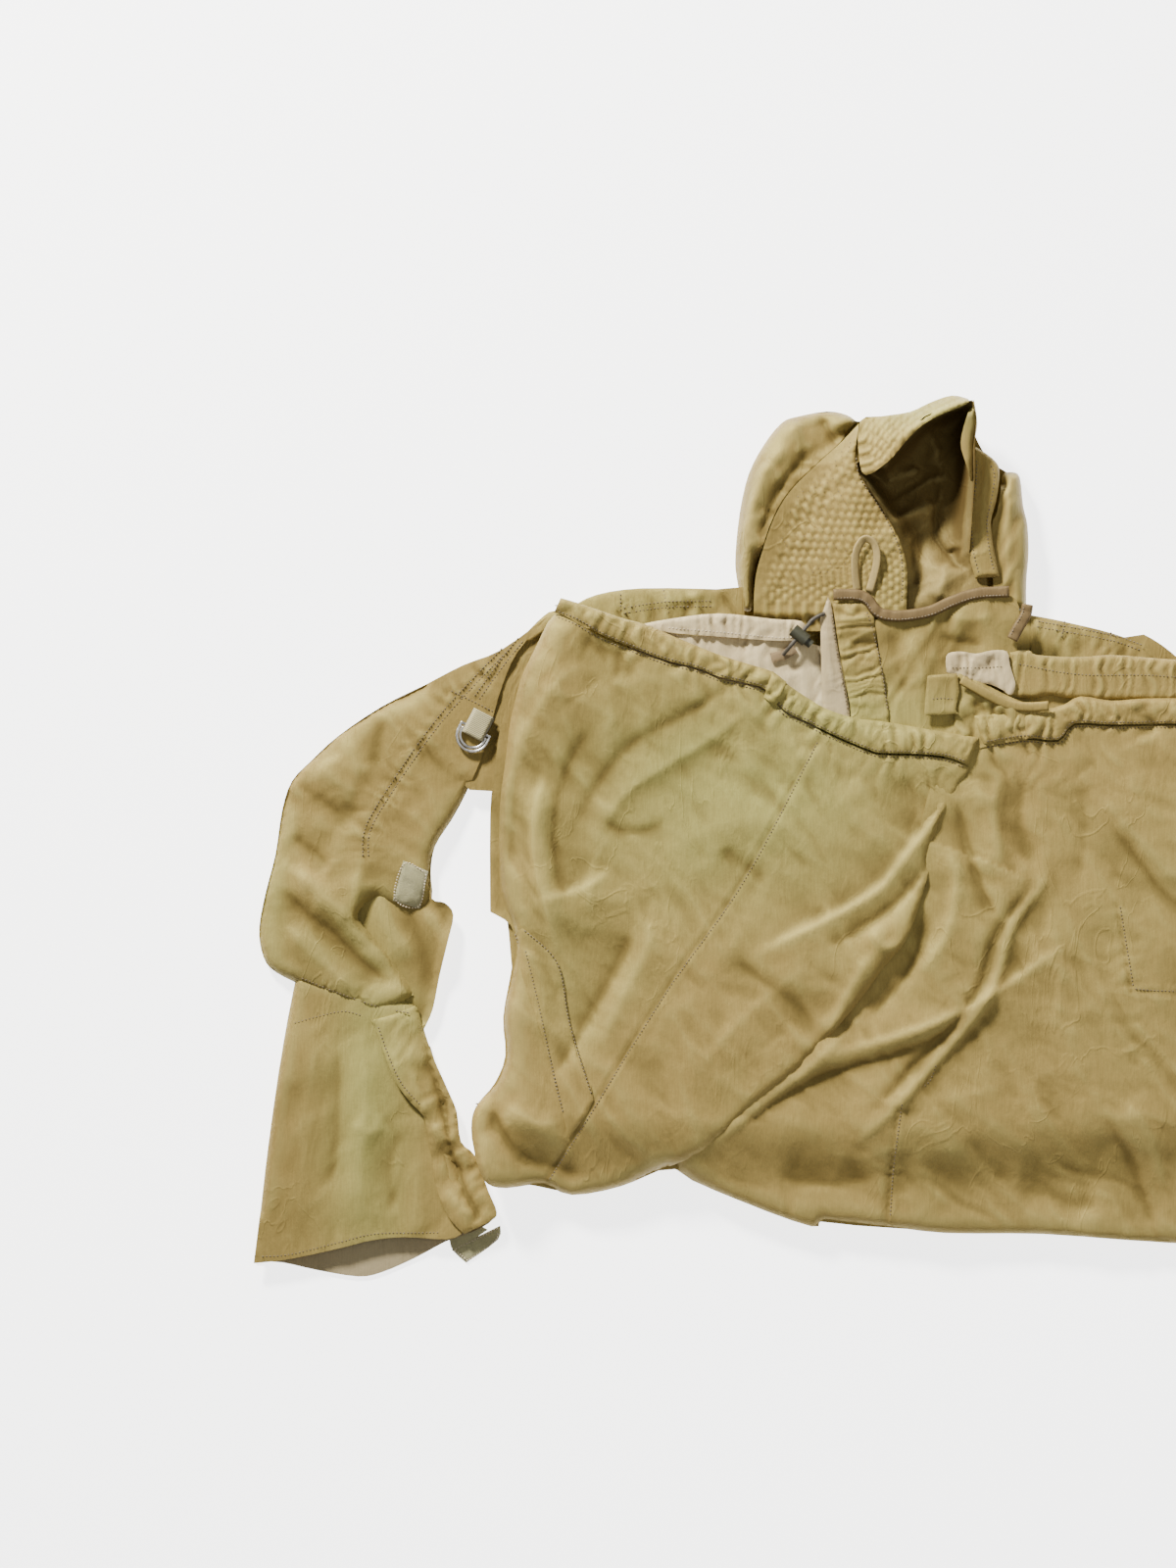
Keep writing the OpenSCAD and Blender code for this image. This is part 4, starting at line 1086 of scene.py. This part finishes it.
def top_band(points):
    d = along(points, curve(TOP_INNER))[0]
    e = along(points, curve(TOP_OUTER))[0]
    share = e / np.maximum(d + e, 1)
    n = np.floor(d / 5.2)
    s = along(points, curve(TOP_OUTER))[2]
    u = s / 7.5 + 0.5 * (n % 2)
    puff = (np.sin(math.pi * (u - np.floor(u))) * np.sin(math.pi * (d / 5.2 - n))) ** 0.55
    return 22 * share ** 0.8 + 2.0 * (puff - 0.4)


OPENING = [(-24, 345), (-22, 333), (-5, 308), (10, 284), (20, 262), (24, 240), (24, 203), (34, 203), (37, 211),
           (63, 211), (66, 207), (100, 207), (96, 240),
           (80, 262), (82, 300), (84, 330), (84, 360), (86, 385), (82, 401), (60, 396), (38, 386), (18, 368),
           (0, 347)]


def cavity(points):
    """The hood's inside: walls that drop from the face edge, and lining that comes up to the neck."""
    d = along(points, np.array(OPENING, float), closed=True)[0]
    rise = 23 * smoothstep((318 - points[:, 1]) / 105)
    wall = 44 * smoothstep((points[:, 1] - 232) / 80)
    high_side = wall * np.exp(-((d / 7.5) ** 1.6))
    return rise + high_side


HOOD_INSIDE_FOLDS = [
    ([(7, 289), (30, 300), (52, 308)], 6.5, 5, 14),
    ([(52, 308), (50, 290), (52, 275), (62, 262), (78, 268)], -7.0, 5, 7),
    ([(30, 300), (36, 270), (34, 240), (40, 215)], -4.5, 8, 11),
    ([(62, 255), (56, 235), (50, 215)], 4.0, 8, 8),
    ([(0, 325), (20, 335), (40, 340)], 2.0, 6, 6),
    ([(20, 350), (40, 340), (60, 335)], -3.0, 7, 9),
    ([(45, 380), (52, 350), (50, 320)], 3.0, 6, 9),
]


def hood():
    back = Cloth("hood_back", 2, roll=(10, -3.5, lambda x, y: y > 215))
    lay("hood_back", back, "khaki", "jacket", step=6)
    lining = Cloth(OPENING, 6, folds=HOOD_INSIDE_FOLDS, wrinkles=[(26, 30, 3.2, 91), (12, 75, 1.1, 92)],
                   extra=cavity)
    # The lining is painted darker towards the top of the hood, where the top band shades it: painted shade.
    lay("hood_lining", lining, "hood_lining", "jacket", step=2.4, slack=1.5,
        tone_of=lambda p: 0.85 * smoothstep((p[:, 1] - 268) / 60))
    lobe = Cloth(
        "hood_crown_left", 25,
        folds=[([(-128, 240), (-122, 290), (-108, 335), (-85, 368)], 3.6, 10, 14),
               ([(-112, 262), (-104, 300), (-84, 334), (-62, 358)], -4.2, 5, 9),
               ([(-55, 390), (-48, 374), (-38, 358)], -4.5, 4, 6),
               ([(-84, 384), (-72, 366), (-66, 352)], 2.2, 6, 7),
               ([(-131, 290), (-118, 300), (-108, 296)], -1.8, 6, 6),
               ([(-118, 350), (-100, 344), (-90, 334)], -1.5, 5, 7)],
        wrinkles=[(44, 60, 4.0, 93), (18, 70, 1.8, 94), (9, 50, 0.5, 89)],
        puckers=[([(-116, 240), (-109, 266), (-99, 294), (-84, 319), (-59, 344)], 1.2, 11, 11, 14)],
        roll=(20, 19, lambda x, y: x < -112 or y > 372 or (x < -100 and y > 340)),
    )
    lay("hood_crown_left", lobe, "khaki", "jacket", step=3, slack=1.25,
        tone_of=lambda p: 0.38 + 0.3 * noise(p[:, 0] / 34, p[:, 1] / 48, 12))
    right_lobe = Cloth(
        "hood_crown_right", 26,
        folds=[([(112, 332), (118, 300), (116, 260), (118, 220)], 3, 7, 7),
               ([(128, 310), (126, 270), (128, 230)], -2, 5, 6)],
        wrinkles=[(26, 80, 2.4, 95), (12, 60, 0.9, 96)], roll=(12, 18, lambda x, y: x > 110),
    )
    lay("hood_crown_right", right_lobe, "khaki_turned", "jacket", step=2.6, slack=1.4)
    band_loop = outline("hood_band_left")
    band_loop[band_loop[:, 1] < 212, 1] -= 20
    band = Cloth(band_loop, 31, extra=band_slope, wrinkles=[(40, 50, 2.2, 97)],
                 folds=[([(-70, 300), (-50, 270), (-48, 230)], 1.6, 12, 14),
                        ([(-100, 250), (-80, 262), (-60, 262)], -1.2, 7, 9)])
    lay("hood_band_left", band, "khaki", "jacket", step=1.9, slack=1.08, thick=3)
    top = Cloth("hood_band_top", 33, extra=top_band,
                folds=[([(0, 388), (6, 372), (14, 362)], 1.5, 4, 5), ([(40, 400), (42, 388), (44, 380)], -1.5, 4, 5)])
    lay("hood_band_top", top, "khaki_turned", "jacket", step=1.8, slack=1.5, thick=3)
    rim = Cloth("hood_rim_right", 52, wrinkles=[(16, 80, 1.6, 98)], roll=(9, 12, lambda x, y: x > 80))
    lay("hood_rim_right", rim, "khaki", "jacket", step=1.8, slack=1.8)
    strip = Cloth("hood_chin_tab", 33, wrinkles=[(24, 85, 2.0, 99), (10, 60, 0.7, 90)],
                  folds=[([(96, 345), (94, 315), (92, 280), (94, 245)], 1.8, 7, 7)],
                  roll=(5, 4, None), puckers=[([(84, 325), (80, 290), (86, 250)], 0.8, 8, 8, 15)])
    lay("hood_chin_tab", strip, "khaki", "jacket", step=1.9, slack=1.15)
    stitch_row(
        [(strip, [(87, 350), (86, 325), (82, 292), (84, 262), (89, 242)], 0),
         (strip, [(98, 345), (103, 333), (100, 310), (96, 290), (98, 265), (103, 243)], 0),
         (band, [(-22, 352), (-18, 331), (0, 304), (11, 283), (19, 262), (21, 240), (20, 213)], -2.5)],
        "hood_stitches", "jacket", "thread")
    honeycomb_stitches(band)
    hanger_loop()


def honeycomb_stitches(band):
    """Rows of stitching between the quilting's cells, where the band's cloth is single."""
    inner = curve(BAND_INNER, 10)
    aside = normals(np.gradient(inner, axis=0))
    border, rows = outline("hood_band_left"), []
    for gap in 6.0 * np.arange(1, 16):
        path = inner + aside * gap
        keep = inside(path, border) & (along(path, np.array(BAND_OUTER, float))[0] > 4)
        keep &= np.abs(along(path, inner)[0] - gap) < 0.8
        if keep.sum() > 5:
            rows.append((band, path[keep], 0))
    stitch_row(rows, "hood_quilting_stitches", "jacket", "thread", pitch=4.3, length=2.6, width=0.5)


def hanger_loop():
    line = curve([(-23, 226), (-25, 245), (-24, 262), (-17, 274), (-8, 270), (-5, 258), (-7, 244), (-12, 226)], 6)
    z = 38 + 4.5 * np.sin(np.linspace(0, math.pi, len(line)))
    strap("hood_hanger_loop", line, z, 0.9, 7.8, 1.3, "tape", "jacket", "hood_hanger_loop", crown=0.3)


# ---- Trousers ----------------------------------------------------------------

STITCH_LEFT = [(-300, 206), (-280, 198), (-255, 184), (-220, 170), (-195, 161), (-170, 155), (-150, 147),
               (-125, 141), (-107, 135), (-90, 116), (-70, 106), (-50, 96), (-30, 87), (-10, 79), (0, 77),
               (35, 76), (60, 73), (78, 66)]
STITCH_RIGHT = [(92, 85), (130, 91), (161, 89), (176, 104), (210, 103), (260, 104), (292, 103), (318, 100)]
LEFT_FOLDS = [
    ([(-104, 132), (-150, 96), (-205, 62), (-240, 36), (-262, -2), (-280, -30)], 3.0, 7, 44),
    ([(-120, 150), (-176, 116), (-232, 84), (-266, 40), (-290, -10)], -3.4, 26, 9),
    ([(-296, -112), (-306, -66), (-318, -20), (-316, 30), (-304, 70)], 3.4, 5, 16),
    ([(-284, -74), (-298, -24), (-300, 24), (-284, 74), (-262, 110)], -3.4, 7, 16),
    ([(-268, -78), (-268, -40), (-258, -10), (-240, 16)], 2.2, 8, 14),
    ([(-322, -60), (-290, -52), (-262, -40), (-246, -22)], 2.4, 4, 12),
    ([(-262, 18), (-236, 6), (-214, 8), (-196, 18)], -1.8, 4, 14),
    ([(-342, -40), (-338, 20), (-334, 80)], -2.4, 6, 7),
    ([(-338, 60), (-326, 100), (-300, 140), (-268, 168)], 2.6, 10, 12),
    ([(-280, 190), (-262, 175), (-240, 165), (-230, 140)], -3.0, 9, 13),
    ([(-336, 146), (-290, 132), (-235, 106), (-160, 88)], 1.2, 10, 30),
    ([(-228, -70), (-240, -110), (-270, -165), (-290, -200), (-310, -230)], -4.4, 9, 14),
    ([(-210, -60), (-215, -100), (-240, -150), (-262, -200)], 3.0, 14, 14),
    ([(88, 70), (60, 30), (20, -20), (0, -45), (-30, -65), (-60, -80), (-100, -100), (-125, -115)], 5.6, 26, 5),
    ([(98, 52), (70, 14), (36, -32), (12, -60), (-20, -84), (-60, -102)], -5.4, 6, 18),
    ([(-15, -75), (0, -100), (20, -95), (40, -70)], 4.2, 7, 7),
    ([(-55, -195), (-35, -150), (-15, -115), (0, -100)], 3.6, 9, 11),
    ([(-150, -105), (-110, -130), (-75, -160), (-60, -185)], -3.0, 10, 16),
    ([(-180, -230), (-150, -190), (-110, -150), (-60, -110)], 2.2, 14, 16),
    ([(-60, 95), (-78, 40), (-105, -10)], 1.2, 16, 16),
    ([(-150, -5), (-125, -25), (-100, -40)], -1.8, 10, 14),
    ([(-30, 60), (-5, 20), (0, -20)], 1.6, 14, 18),
    ([(20, 60), (30, 30), (22, 0)], -1.8, 9, 12),
    ([(-200, -140), (-165, -170), (-120, -215)], 1.8, 14, 14),
    ([(-350, -245), (-320, -262), (-290, -262)], 2.6, 10, 14),
    ([(-345, -295), (-310, -300), (-270, -312)], -2.0, 9, 12),
    ([(-130, 60), (-90, 50), (-50, 55)], -1.2, 13, 15),
    ([(-210, -20), (-150, 10), (-90, 20)], 1.3, 20, 22),
]
RIGHT_FOLDS = [
    ([(150, 0), (148, -40), (132, -62), (118, -85), (105, -130), (85, -165), (50, -205), (0, -260), (-40, -290)],
     5.2, 5, 26),
    ([(136, -10), (134, -45), (118, -68), (102, -95), (92, -130), (70, -165), (30, -208), (-20, -262)], -4.8, 14, 6),
    ([(185, -95), (160, -105), (100, -145), (50, -170), (0, -187), (-60, -202)], 4.0, 12, 6),
    ([(-150, -284), (-100, -244), (-50, -218), (20, -196), (80, -170)], -4.8, 7, 13),
    ([(66, 40), (78, -10), (92, -50), (112, -86)], -4.6, 7, 12), ([(104, 60), (104, 10), (112, -40)], 3.6, 7, 16),
    ([(62, 0), (68, -40), (58, -90), (28, -132)], 3.6, 10, 8),
    ([(128, 60), (126, 10), (138, -30)], -2.6, 9, 14),
    ([(40, -60), (36, -100), (10, -140), (-20, -170)], -3.6, 8, 9),
    ([(-20, -165), (-70, -215), (-130, -262), (-165, -290)], 3.0, 9, 9),
    ([(200, -250), (225, -290), (240, -330), (255, -370)], -3.0, 8, 10),
    ([(220, -235), (248, -280), (262, -330)], 2.6, 9, 10),
    ([(205, 20), (240, -30), (270, -60), (320, -80)], -3.2, 8, 12),
    ([(190, 50), (225, 10), (262, -30), (310, -50)], 2.6, 12, 12),
    ([(238, 126), (244, 110), (252, 93)], -2.6, 5, 7),
    ([(-100, -310), (-50, -318), (0, -310)], -3.0, 16, 12), ([(120, -320), (160, -330), (200, -345)], -3.0, 18, 14),
    ([(0, -235), (60, -240), (120, -225)], 1.8, 14, 16), ([(150, -60), (165, -120), (160, -180)], 2.0, 12, 16),
    ([(180, 60), (185, 10), (175, -50)], -2.0, 12, 14), ([(330, -120), (300, -180), (300, -260)], -3.0, 14, 16),
    ([(370, -80), (360, -160), (372, -240)], 3.0, 16, 16), ([(290, 60), (280, 10), (300, -40)], 2.0, 10, 12),
    ([(-30, -300), (20, -285), (90, -290)], 2.0, 12, 12), ([(60, -345), (40, -310), (30, -280)], 1.5, 10, 10),
]
SIDE_SEAM = [(-60, 92), (-130, -40), (-200, -140), (-290, -285), (-308, -314)]
CENTRE_SEAM = [(15, -240), (8, -300), (5, -350)]


def trousers():
    back_loop = outline("trousers_back")
    back = Cloth(back_loop, 29.5, wrinkles=[(60, 20, 1.0, 101)], roll=(12, -1.0, lambda x, y: y < 100), hangs=True)
    lay("trousers_back", back, "khaki", "trousers", step=6, slack=1.02)
    for node in ("leg_left_folded", "leg_right_folded"):
        loop = outline(node)
        for k, (level, roll) in enumerate(((21.2, -1.6), (26.0, 1.6))):
            ply = Cloth(loop, level, wrinkles=[(60, 40, 0.6, 102 + k)], roll=(12, roll, None), hangs=True)
            lay(f"{node}_{k + 1}", ply, "khaki", "trousers", step=7, thick=3, node=node)
    lining_loop = outline("trousers_lining")
    lining_loop[lining_loop[:, 0] > -68, 0] += 9
    lining_loop[lining_loop[:, 1] > 176, 1] += 8
    lining = Over(lining_loop, back, 2.2,
                  folds=[([(-120, 182), (-110, 150), (-95, 120)], 1.4, 8, 12),
                         ([(-85, 178), (-80, 150)], -1.2, 6, 8)],
                  wrinkles=[(26, 80, 2.4, 104), (12, 60, 1.2, 105)],
                  puckers=[([(-205, 188), (-150, 186), (-80, 182)], 1.8, 10, 16, 24)])
    lay("trousers_lining", lining, "cream", "trousers", step=3, thick=1.2)
    front_left = Cloth(
        "trousers_front_left", 41.0, folds=LEFT_FOLDS,
        wrinkles=[(95, -40, 3.6, 111), (42, -50, 2.0, 112), (20, -40, 0.8, 113), (11, -52, 0.35, 114)],
        puckers=[(STITCH_LEFT, 1.6, 15, 26, 16)], seams=[SIDE_SEAM],
        roll=[(17, 10.5, lambda x, y: x < -300 or y < -305), (13, 4.5, lambda x, y: x > -225 and y < 63)],
        hangs=True,
    )
    lay("trousers_front_left", front_left, "khaki", "trousers", step=3.6, slack=1.1)
    front_right = Cloth(
        "trousers_front_right", 37.6, folds=RIGHT_FOLDS,
        wrinkles=[(95, -60, 3.4, 121), (42, -50, 2.0, 122), (20, -30, 0.8, 123), (11, -44, 0.35, 124)],
        puckers=[(STITCH_RIGHT, 1.8, 16, 30, 17), ([(215, -60), (228, -140), (232, -200)], 0.8, 14, 12, 18),
                 (CENTRE_SEAM, 0.6, 13, 12, 19)],
        seams=[CENTRE_SEAM, [(215, -60), (228, -140)], [(228, -140), (250, -142), (290, -143)]],
        roll=(17, 7.5, lambda x, y: y < -300 or x > 300), hangs=True,
    )
    lay("trousers_front_right", front_right, "khaki", "trousers", step=3.6, slack=1.1)
    welt = Over("pocket_welt", front_left, 2.0, roll=(3, 0.8, None), wrinkles=[(14, -65, 0.5, 114)])
    lay("pocket_welt", welt, "khaki_turned", "trousers", step=2.6, thick=1.4)
    stitch_row(
        [(front_left, SIDE_SEAM, 2.4), (front_left, [(-338, -85), (-320, -140), (-300, -225), (-286, -272)], 0),
         (welt, [(-332, -84), (-300, -116), (-289, -170), (-268, -238)], 2),
         (welt, [(-328, -100), (-316, -150), (-304, -205), (-292, -255)], 0),
         (front_left, STITCH_LEFT, -2.5),
         (front_right, STITCH_RIGHT, -2.5), (front_right, CENTRE_SEAM, 3),
         (front_right, [(50, -205), (44, -222), (35, -230)], 0), (front_right, [(215, -60), (228, -140)], 2.6),
         (front_right, [(228, -140), (250, -142), (290, -143)], 2)],
        "trousers_stitches", "trousers", "thread")
    waistbands(back, front_left, front_right)


def casing(node, front, stitch, pitch, seed):
    """A waist casing: the two CAD layers and their elastic as one gathered tube that grows out of the front."""
    stitch = np.array(stitch, float)

    def swell(points):
        d, side = along(points, curve(stitch))[:2]
        return 2.6 * np.sin(math.pi * np.clip(d * np.where(side > 0, 1, 0) / 23, 0, 1)) ** 0.45

    def open_edge(x, y):
        return along(np.array([[x, y]]), stitch)[0][0] > 9

    return Over(node, front, 1.7, extra=swell,
                puckers=[(stitch + (0, 10), 1.25, pitch * 1.15, 40, seed),
                         (stitch + (0, 20), 0.8, pitch * 0.7, 14, seed + 1)],
                wrinkles=[(13, 80, 0.7, seed + 2)], roll=(4.5, 2.6, open_edge))


RIGHT_END = [(67, 152), (75, 152), (86, 147), (104, 136), (128, 125), (152, 119), (168, 122), (176, 112), (160, 96),
             (128, 90), (96, 84), (80, 80), (66, 84), (66, 112)]


def waistbands(back, front_left, front_right):
    left_band = casing("waistband_front_left", front_left, STITCH_LEFT, 11.5, 21)
    lay("waistband_front_left", left_band, "khaki_gathered", "trousers", step=2.4,
        thick=4.4, slack=1.2)
    right_band = casing("waistband_front_right", front_right, STITCH_RIGHT, 10.5, 23)
    lay("waistband_front_right", right_band, "khaki_gathered", "trousers", step=2.4,
        thick=4.4, slack=1.2)
    end_fold = Over(curve(RIGHT_END + RIGHT_END[:1], 5)[:-1], front_right, 1.2, roll=(7, 2.5, lambda x, y: y > 100),
                    folds=[([(80, 146), (100, 132), (130, 118)], 3.0, 5, 8),
                           ([(78, 128), (96, 116), (120, 110)], -3.0, 5, 6),
                           ([(84, 104), (110, 102), (140, 104)], 2.4, 7, 7)],
                    puckers=[([(70, 95), (110, 98), (150, 100)], 1.6, 11, 26, 26)], wrinkles=[(20, 40, 1.4, 133)])
    lay("waistband_right_end", end_fold, "khaki_gathered", "trousers", step=2.2, thick=2, slack=1.15,
        node="")
    for k, (loop, level) in enumerate(zip(left_to_right("waist_elastics"), (42.0, 37.6))):
        lay(f"waist_elastic_{k + 1}", Cloth(loop, level), "elastic", "trousers", step=4, thick=1.2,
            node="waist_elastics")
    back_left = Cloth("waistband_back_left", 36.5, roll=(4, 2.0, lambda x, y: y > 192),
                      wrinkles=[(13, 85, 0.9, 106)],
                      puckers=[([(-205, 196), (-150, 197), (-80, 190)], 1.7, 10, 30, 25),
                               ([(-205, 203), (-150, 204), (-80, 197)], 1.2, 6, 8, 28)])
    lay("waistband_back_left", back_left, "cream", "trousers", step=2.2, thick=4,
        slack=1.15)
    back_loop = outline("waistband_back_right")
    back_loop[(back_loop[:, 1] < 150) & (back_loop[:, 0] > 112), 1] -= 16
    corner = (back_loop[:, 0] < 150) & (back_loop[:, 1] < 158)
    back_loop[corner] = back_loop[corner] * (1, 0) + (-5, 128)
    back_right = Cloth(back_loop, 36.5, roll=(7, 3.4, None),
                       puckers=[([(120, 164), (180, 155), (250, 154), (322, 147)], 1.4, 10, 40, 27)])
    lay("waistband_back_right", back_right, "khaki_gathered", "trousers", step=2.4,
        thick=4, slack=1.2)
    end_loop = [(59, 152), (58, 160), (60, 169), (72, 171), (86, 169), (100, 172), (114, 171), (117, 158), (122, 141),
                (118, 131), (108, 137), (98, 141), (86, 143), (76, 147), (68, 149), (59, 152)]
    end = Cloth(curve(end_loop, 3)[:-1], 40.0, roll=(2, 0.7, None),
                folds=[([(60, 165), (85, 170), (110, 165)], 1.0, 3, 5),
                       ([(66, 148), (72, 160), (70, 172)], -1.6, 2, 4),
                       ([(92, 146), (96, 158), (104, 170)], -1.4, 2, 4), ([(78, 150), (84, 166)], 1.4, 3, 4)],
                puckers=[([(57, 157), (85, 157), (113, 159)], 1.5, 6.5, 14, 29)], wrinkles=[(12, 60, 1.3, 131)])
    lay("waist_lining_end", end, "cream", "trousers", step=2, slack=1.1)
    flap = Cloth("waist_end_flap", 44.0, roll=(1.8, 0.8, None), wrinkles=[(18, 85, 1.0, 132)],
                 folds=[([(62, 150), (61, 135), (63, 118)], -0.9, 3, 4),
                        ([(44, 148), (56, 146), (68, 148)], 0.6, 3, 4)])
    lay("waist_end_flap", flap, "khaki", "trousers", step=2, thick=2.0, slack=1.25)
    loop_piece = Over("belt_loop", left_band, 1.6, roll=(2.5, 1.0, None))
    lay("belt_loop", loop_piece, "khaki_turned", "trousers", step=1.8, thick=1.8, slack=1.15)
    tie = curve([(72, 145), (84, 138), (100, 129), (116, 122), (134, 120), (152, 121)], 8)
    strap("waist_tie", tie, 45.5 + 1.4 * np.sin(np.linspace(0, 7, len(tie))), 0.25, 9, 1.6, "khaki", "trousers",
          "waist_tie", crown=0.5, held="laid")
    stitch_row(
        [(left_band, np.array(STITCH_LEFT, float) + (0, 3), 0),
         (right_band, np.array(STITCH_RIGHT, float) + (0, 3), 0),
         (back_right, [(122, 160), (180, 150), (250, 149), (318, 142)], 0),
         (end, [(60, 156), (85, 156), (111, 157)], 0),
         (flap, [(42, 127), (55, 128), (67, 127)], 0)],
        "waistband_stitches", "trousers", "thread")
    stitch_row([(back_left, [(-200, 193), (-150, 189), (-100, 184), (-78, 184)], 0)], "back_waist_stitches",
               "trousers", "cream_thread")


# ---- Bib ---------------------------------------------------------------------

BINDING_PATH = [(-45, 223), (-25, 223), (-14, 219), (-5, 208), (6, 204), (22, 204), (44, 208), (64, 217),
                (86, 224), (116, 226)]
BINDING_END = [(133, 214), (131, 204), (124, 192), (119, 182)]


def bib():
    panel_loop = np.array([(6, 200), (22, 200), (44, 204), (64, 213), (86, 220), (118, 222), (126, 206), (121, 188),
                           (123, 170), (100, 160), (76, 150), (74, 98), (6, 96), (5, 120), (0, 150), (-4, 180),
                           (-6, 200)], float)
    panel = Cloth(
        curve(np.vstack([panel_loop, panel_loop[:1]]), 3)[:-1], 36.5,
        folds=[([(50, 186), (70, 180), (95, 178)], -3.4, 7, 9), ([(60, 205), (80, 200), (105, 205)], 2.2, 8, 8),
               ([(20, 190), (34, 165), (36, 135)], 1.8, 8, 9), ([(8, 195), (14, 160), (20, 125)], -1.6, 6, 8)],
        wrinkles=[(32, 60, 2.6, 141), (15, 100, 0.8, 142)],
        puckers=[(BINDING_PATH[4:], 0.8, 11, 16, 31)],
    )
    lay("bib", panel, "khaki", "trousers", step=2.6, slack=1.1)
    strip_loop = outline("fly_gathered_strip")
    strip_loop[strip_loop[:, 1] < 114, 1] -= 14
    facing_loop = outline("fly_facing")
    facing_loop[facing_loop[:, 1] < 114, 1] -= 12
    gathered = Cloth(
        strip_loop, 38.6,
        folds=[([(-32, 178), (-18, 179), (-5, 177), (-2, 168)], -2.8, 4, 5),
               ([(-40, 206), (-25, 202), (-10, 204)], 1.6, 4, 5)],
        puckers=[([(-29, 215), (-24, 175), (-14, 145), (-10, 112)], 1.0, 8.2, 60, 33)], roll=(2.5, 1.0, None),
        wrinkles=[(15, 10, 1.5, 143), (8, -20, 0.5, 144)],
    )
    lay("fly_gathered_strip", gathered, "khaki_gathered", "trousers", step=1.8,
        slack=1.25)
    facing = Cloth(facing_loop, 38.6, folds=[([(-53, 200), (-50, 170), (-44, 130)], 1.3, 4, 5)],
                   puckers=[([(-46, 215), (-40, 175), (-30, 118)], 0.5, 7, 9, 35)], roll=(4, 1.8, None))
    # The facing is the cream cloth painted darker all over: painted shade.
    lay("fly_facing", facing, "cream", "trousers", step=2, slack=1.08,
        tone_of=lambda p: 0.46 + 0 * p[:, 0])
    for k, path in enumerate((BINDING_PATH, BINDING_END)):
        line = curve(path, 8)
        strap(f"bib_binding_{k + 1}", line, 39.6 + 0.35 * np.sin(np.arange(len(line)) * 0.9), 0, 10.5, 2.0,
              "binding", "trousers", "bib_binding", crown=0.35, held="stretched")
        flat = Cloth([(0, 0), (1, 0), (1, 1)], 40.9)
        stitch_row([(flat, path, -3.2)], f"bib_binding_{k + 1}_stitches", "trousers", "binding_thread",
                   pitch=3, length=2)
    stitch_row([(gathered, [(-44, 208), (-40, 175), (-34, 145), (-29, 116)], -2.5),
                (gathered, [(-17, 210), (-8, 180), (-2, 150), (3, 116)], 2)],
               "fly_strip_stitches", "trousers", "thread")


# ---- Cord lock, drawcord, zip and rings --------------------------------------

CORD_ROUTE = [(-53, 206, 38.5), (-58.5, 203.6, 40.5), (-64.4, 199.8, 41.8), (-67.6, 196, 42), (-71.5, 191.4, 42),
              (-76, 186, 42), (-80.5, 180.6, 42), (-85, 175.2, 41.4), (-91, 168, 37)]


FITTINGS = {
    "ring_left_outer": "steel", "ring_left_inner": "steel", "ring_right_outer": "steel",
    "ring_right_inner": "steel", "zip_slider": "steel", "zip_pull": "steel", "zip_chain": "teeth",
    "cord_lock_barrel": "plastic", "cord_lock_button": "plastic",
}


def trims():
    for k, loop in enumerate(left_to_right("zip_tapes")):
        lay(f"zip_tape_{k + 1}", Cloth(loop, 12.5, wrinkles=[(30, 90, 0.08, 151)]), "zip_tape", "jacket", step=5,
            thick=1.0, node="zip_tapes")
    ribbon = Cloth("cord_lock_ribbon", 35, roll=(2, 0.6, None), wrinkles=[(9, 40, 0.4, 152)])
    lay("cord_lock_ribbon", ribbon, "ribbon", "trousers", step=1.8, thick=1.3)
    braided_cord("waist_drawcord", curve(CORD_ROUTE, 5), 1.75)
    for node, material in FITTINGS.items():
        mesh = NODES[node].data
        mesh.materials.clear()
        mesh.materials.append(MATERIALS[material])


def braided_cord(name, route, radius):
    """A cord along a route, its round section roughened by the braid's diamonds."""
    index, fine = np.arange(len(route)), np.linspace(0, len(route) - 1, 90)
    across = np.cross(np.gradient(route, axis=0), (0, 0, 1.0))
    path, across = [np.column_stack([np.interp(fine, index, v[:, k]) for k in range(3)]) for v in (route, across)]
    a = 2 * math.pi * np.arange(24) / 24
    sections = []
    for i in range(len(path)):
        braid = 0.12 * (np.abs(np.sin(4 * a + 0.55 * i)) + np.abs(np.sin(4 * a - 0.55 * i)))
        r = radius - 0.16 + braid
        sections.append(np.column_stack([r * np.cos(a), r * np.sin(a)]))
    tube(f"{name}_braid", path, across, sections, "cord", "trousers", name)


# ---- Making ------------------------------------------------------------------

set_camera()
studio()
MATERIALS = make_materials()
jacket_body()
elbow_patches({side: sleeve(side) for side in ("left", "right")})
cuff_tabs()
ring_tabs()
hood()
trousers()
bib()
trims()
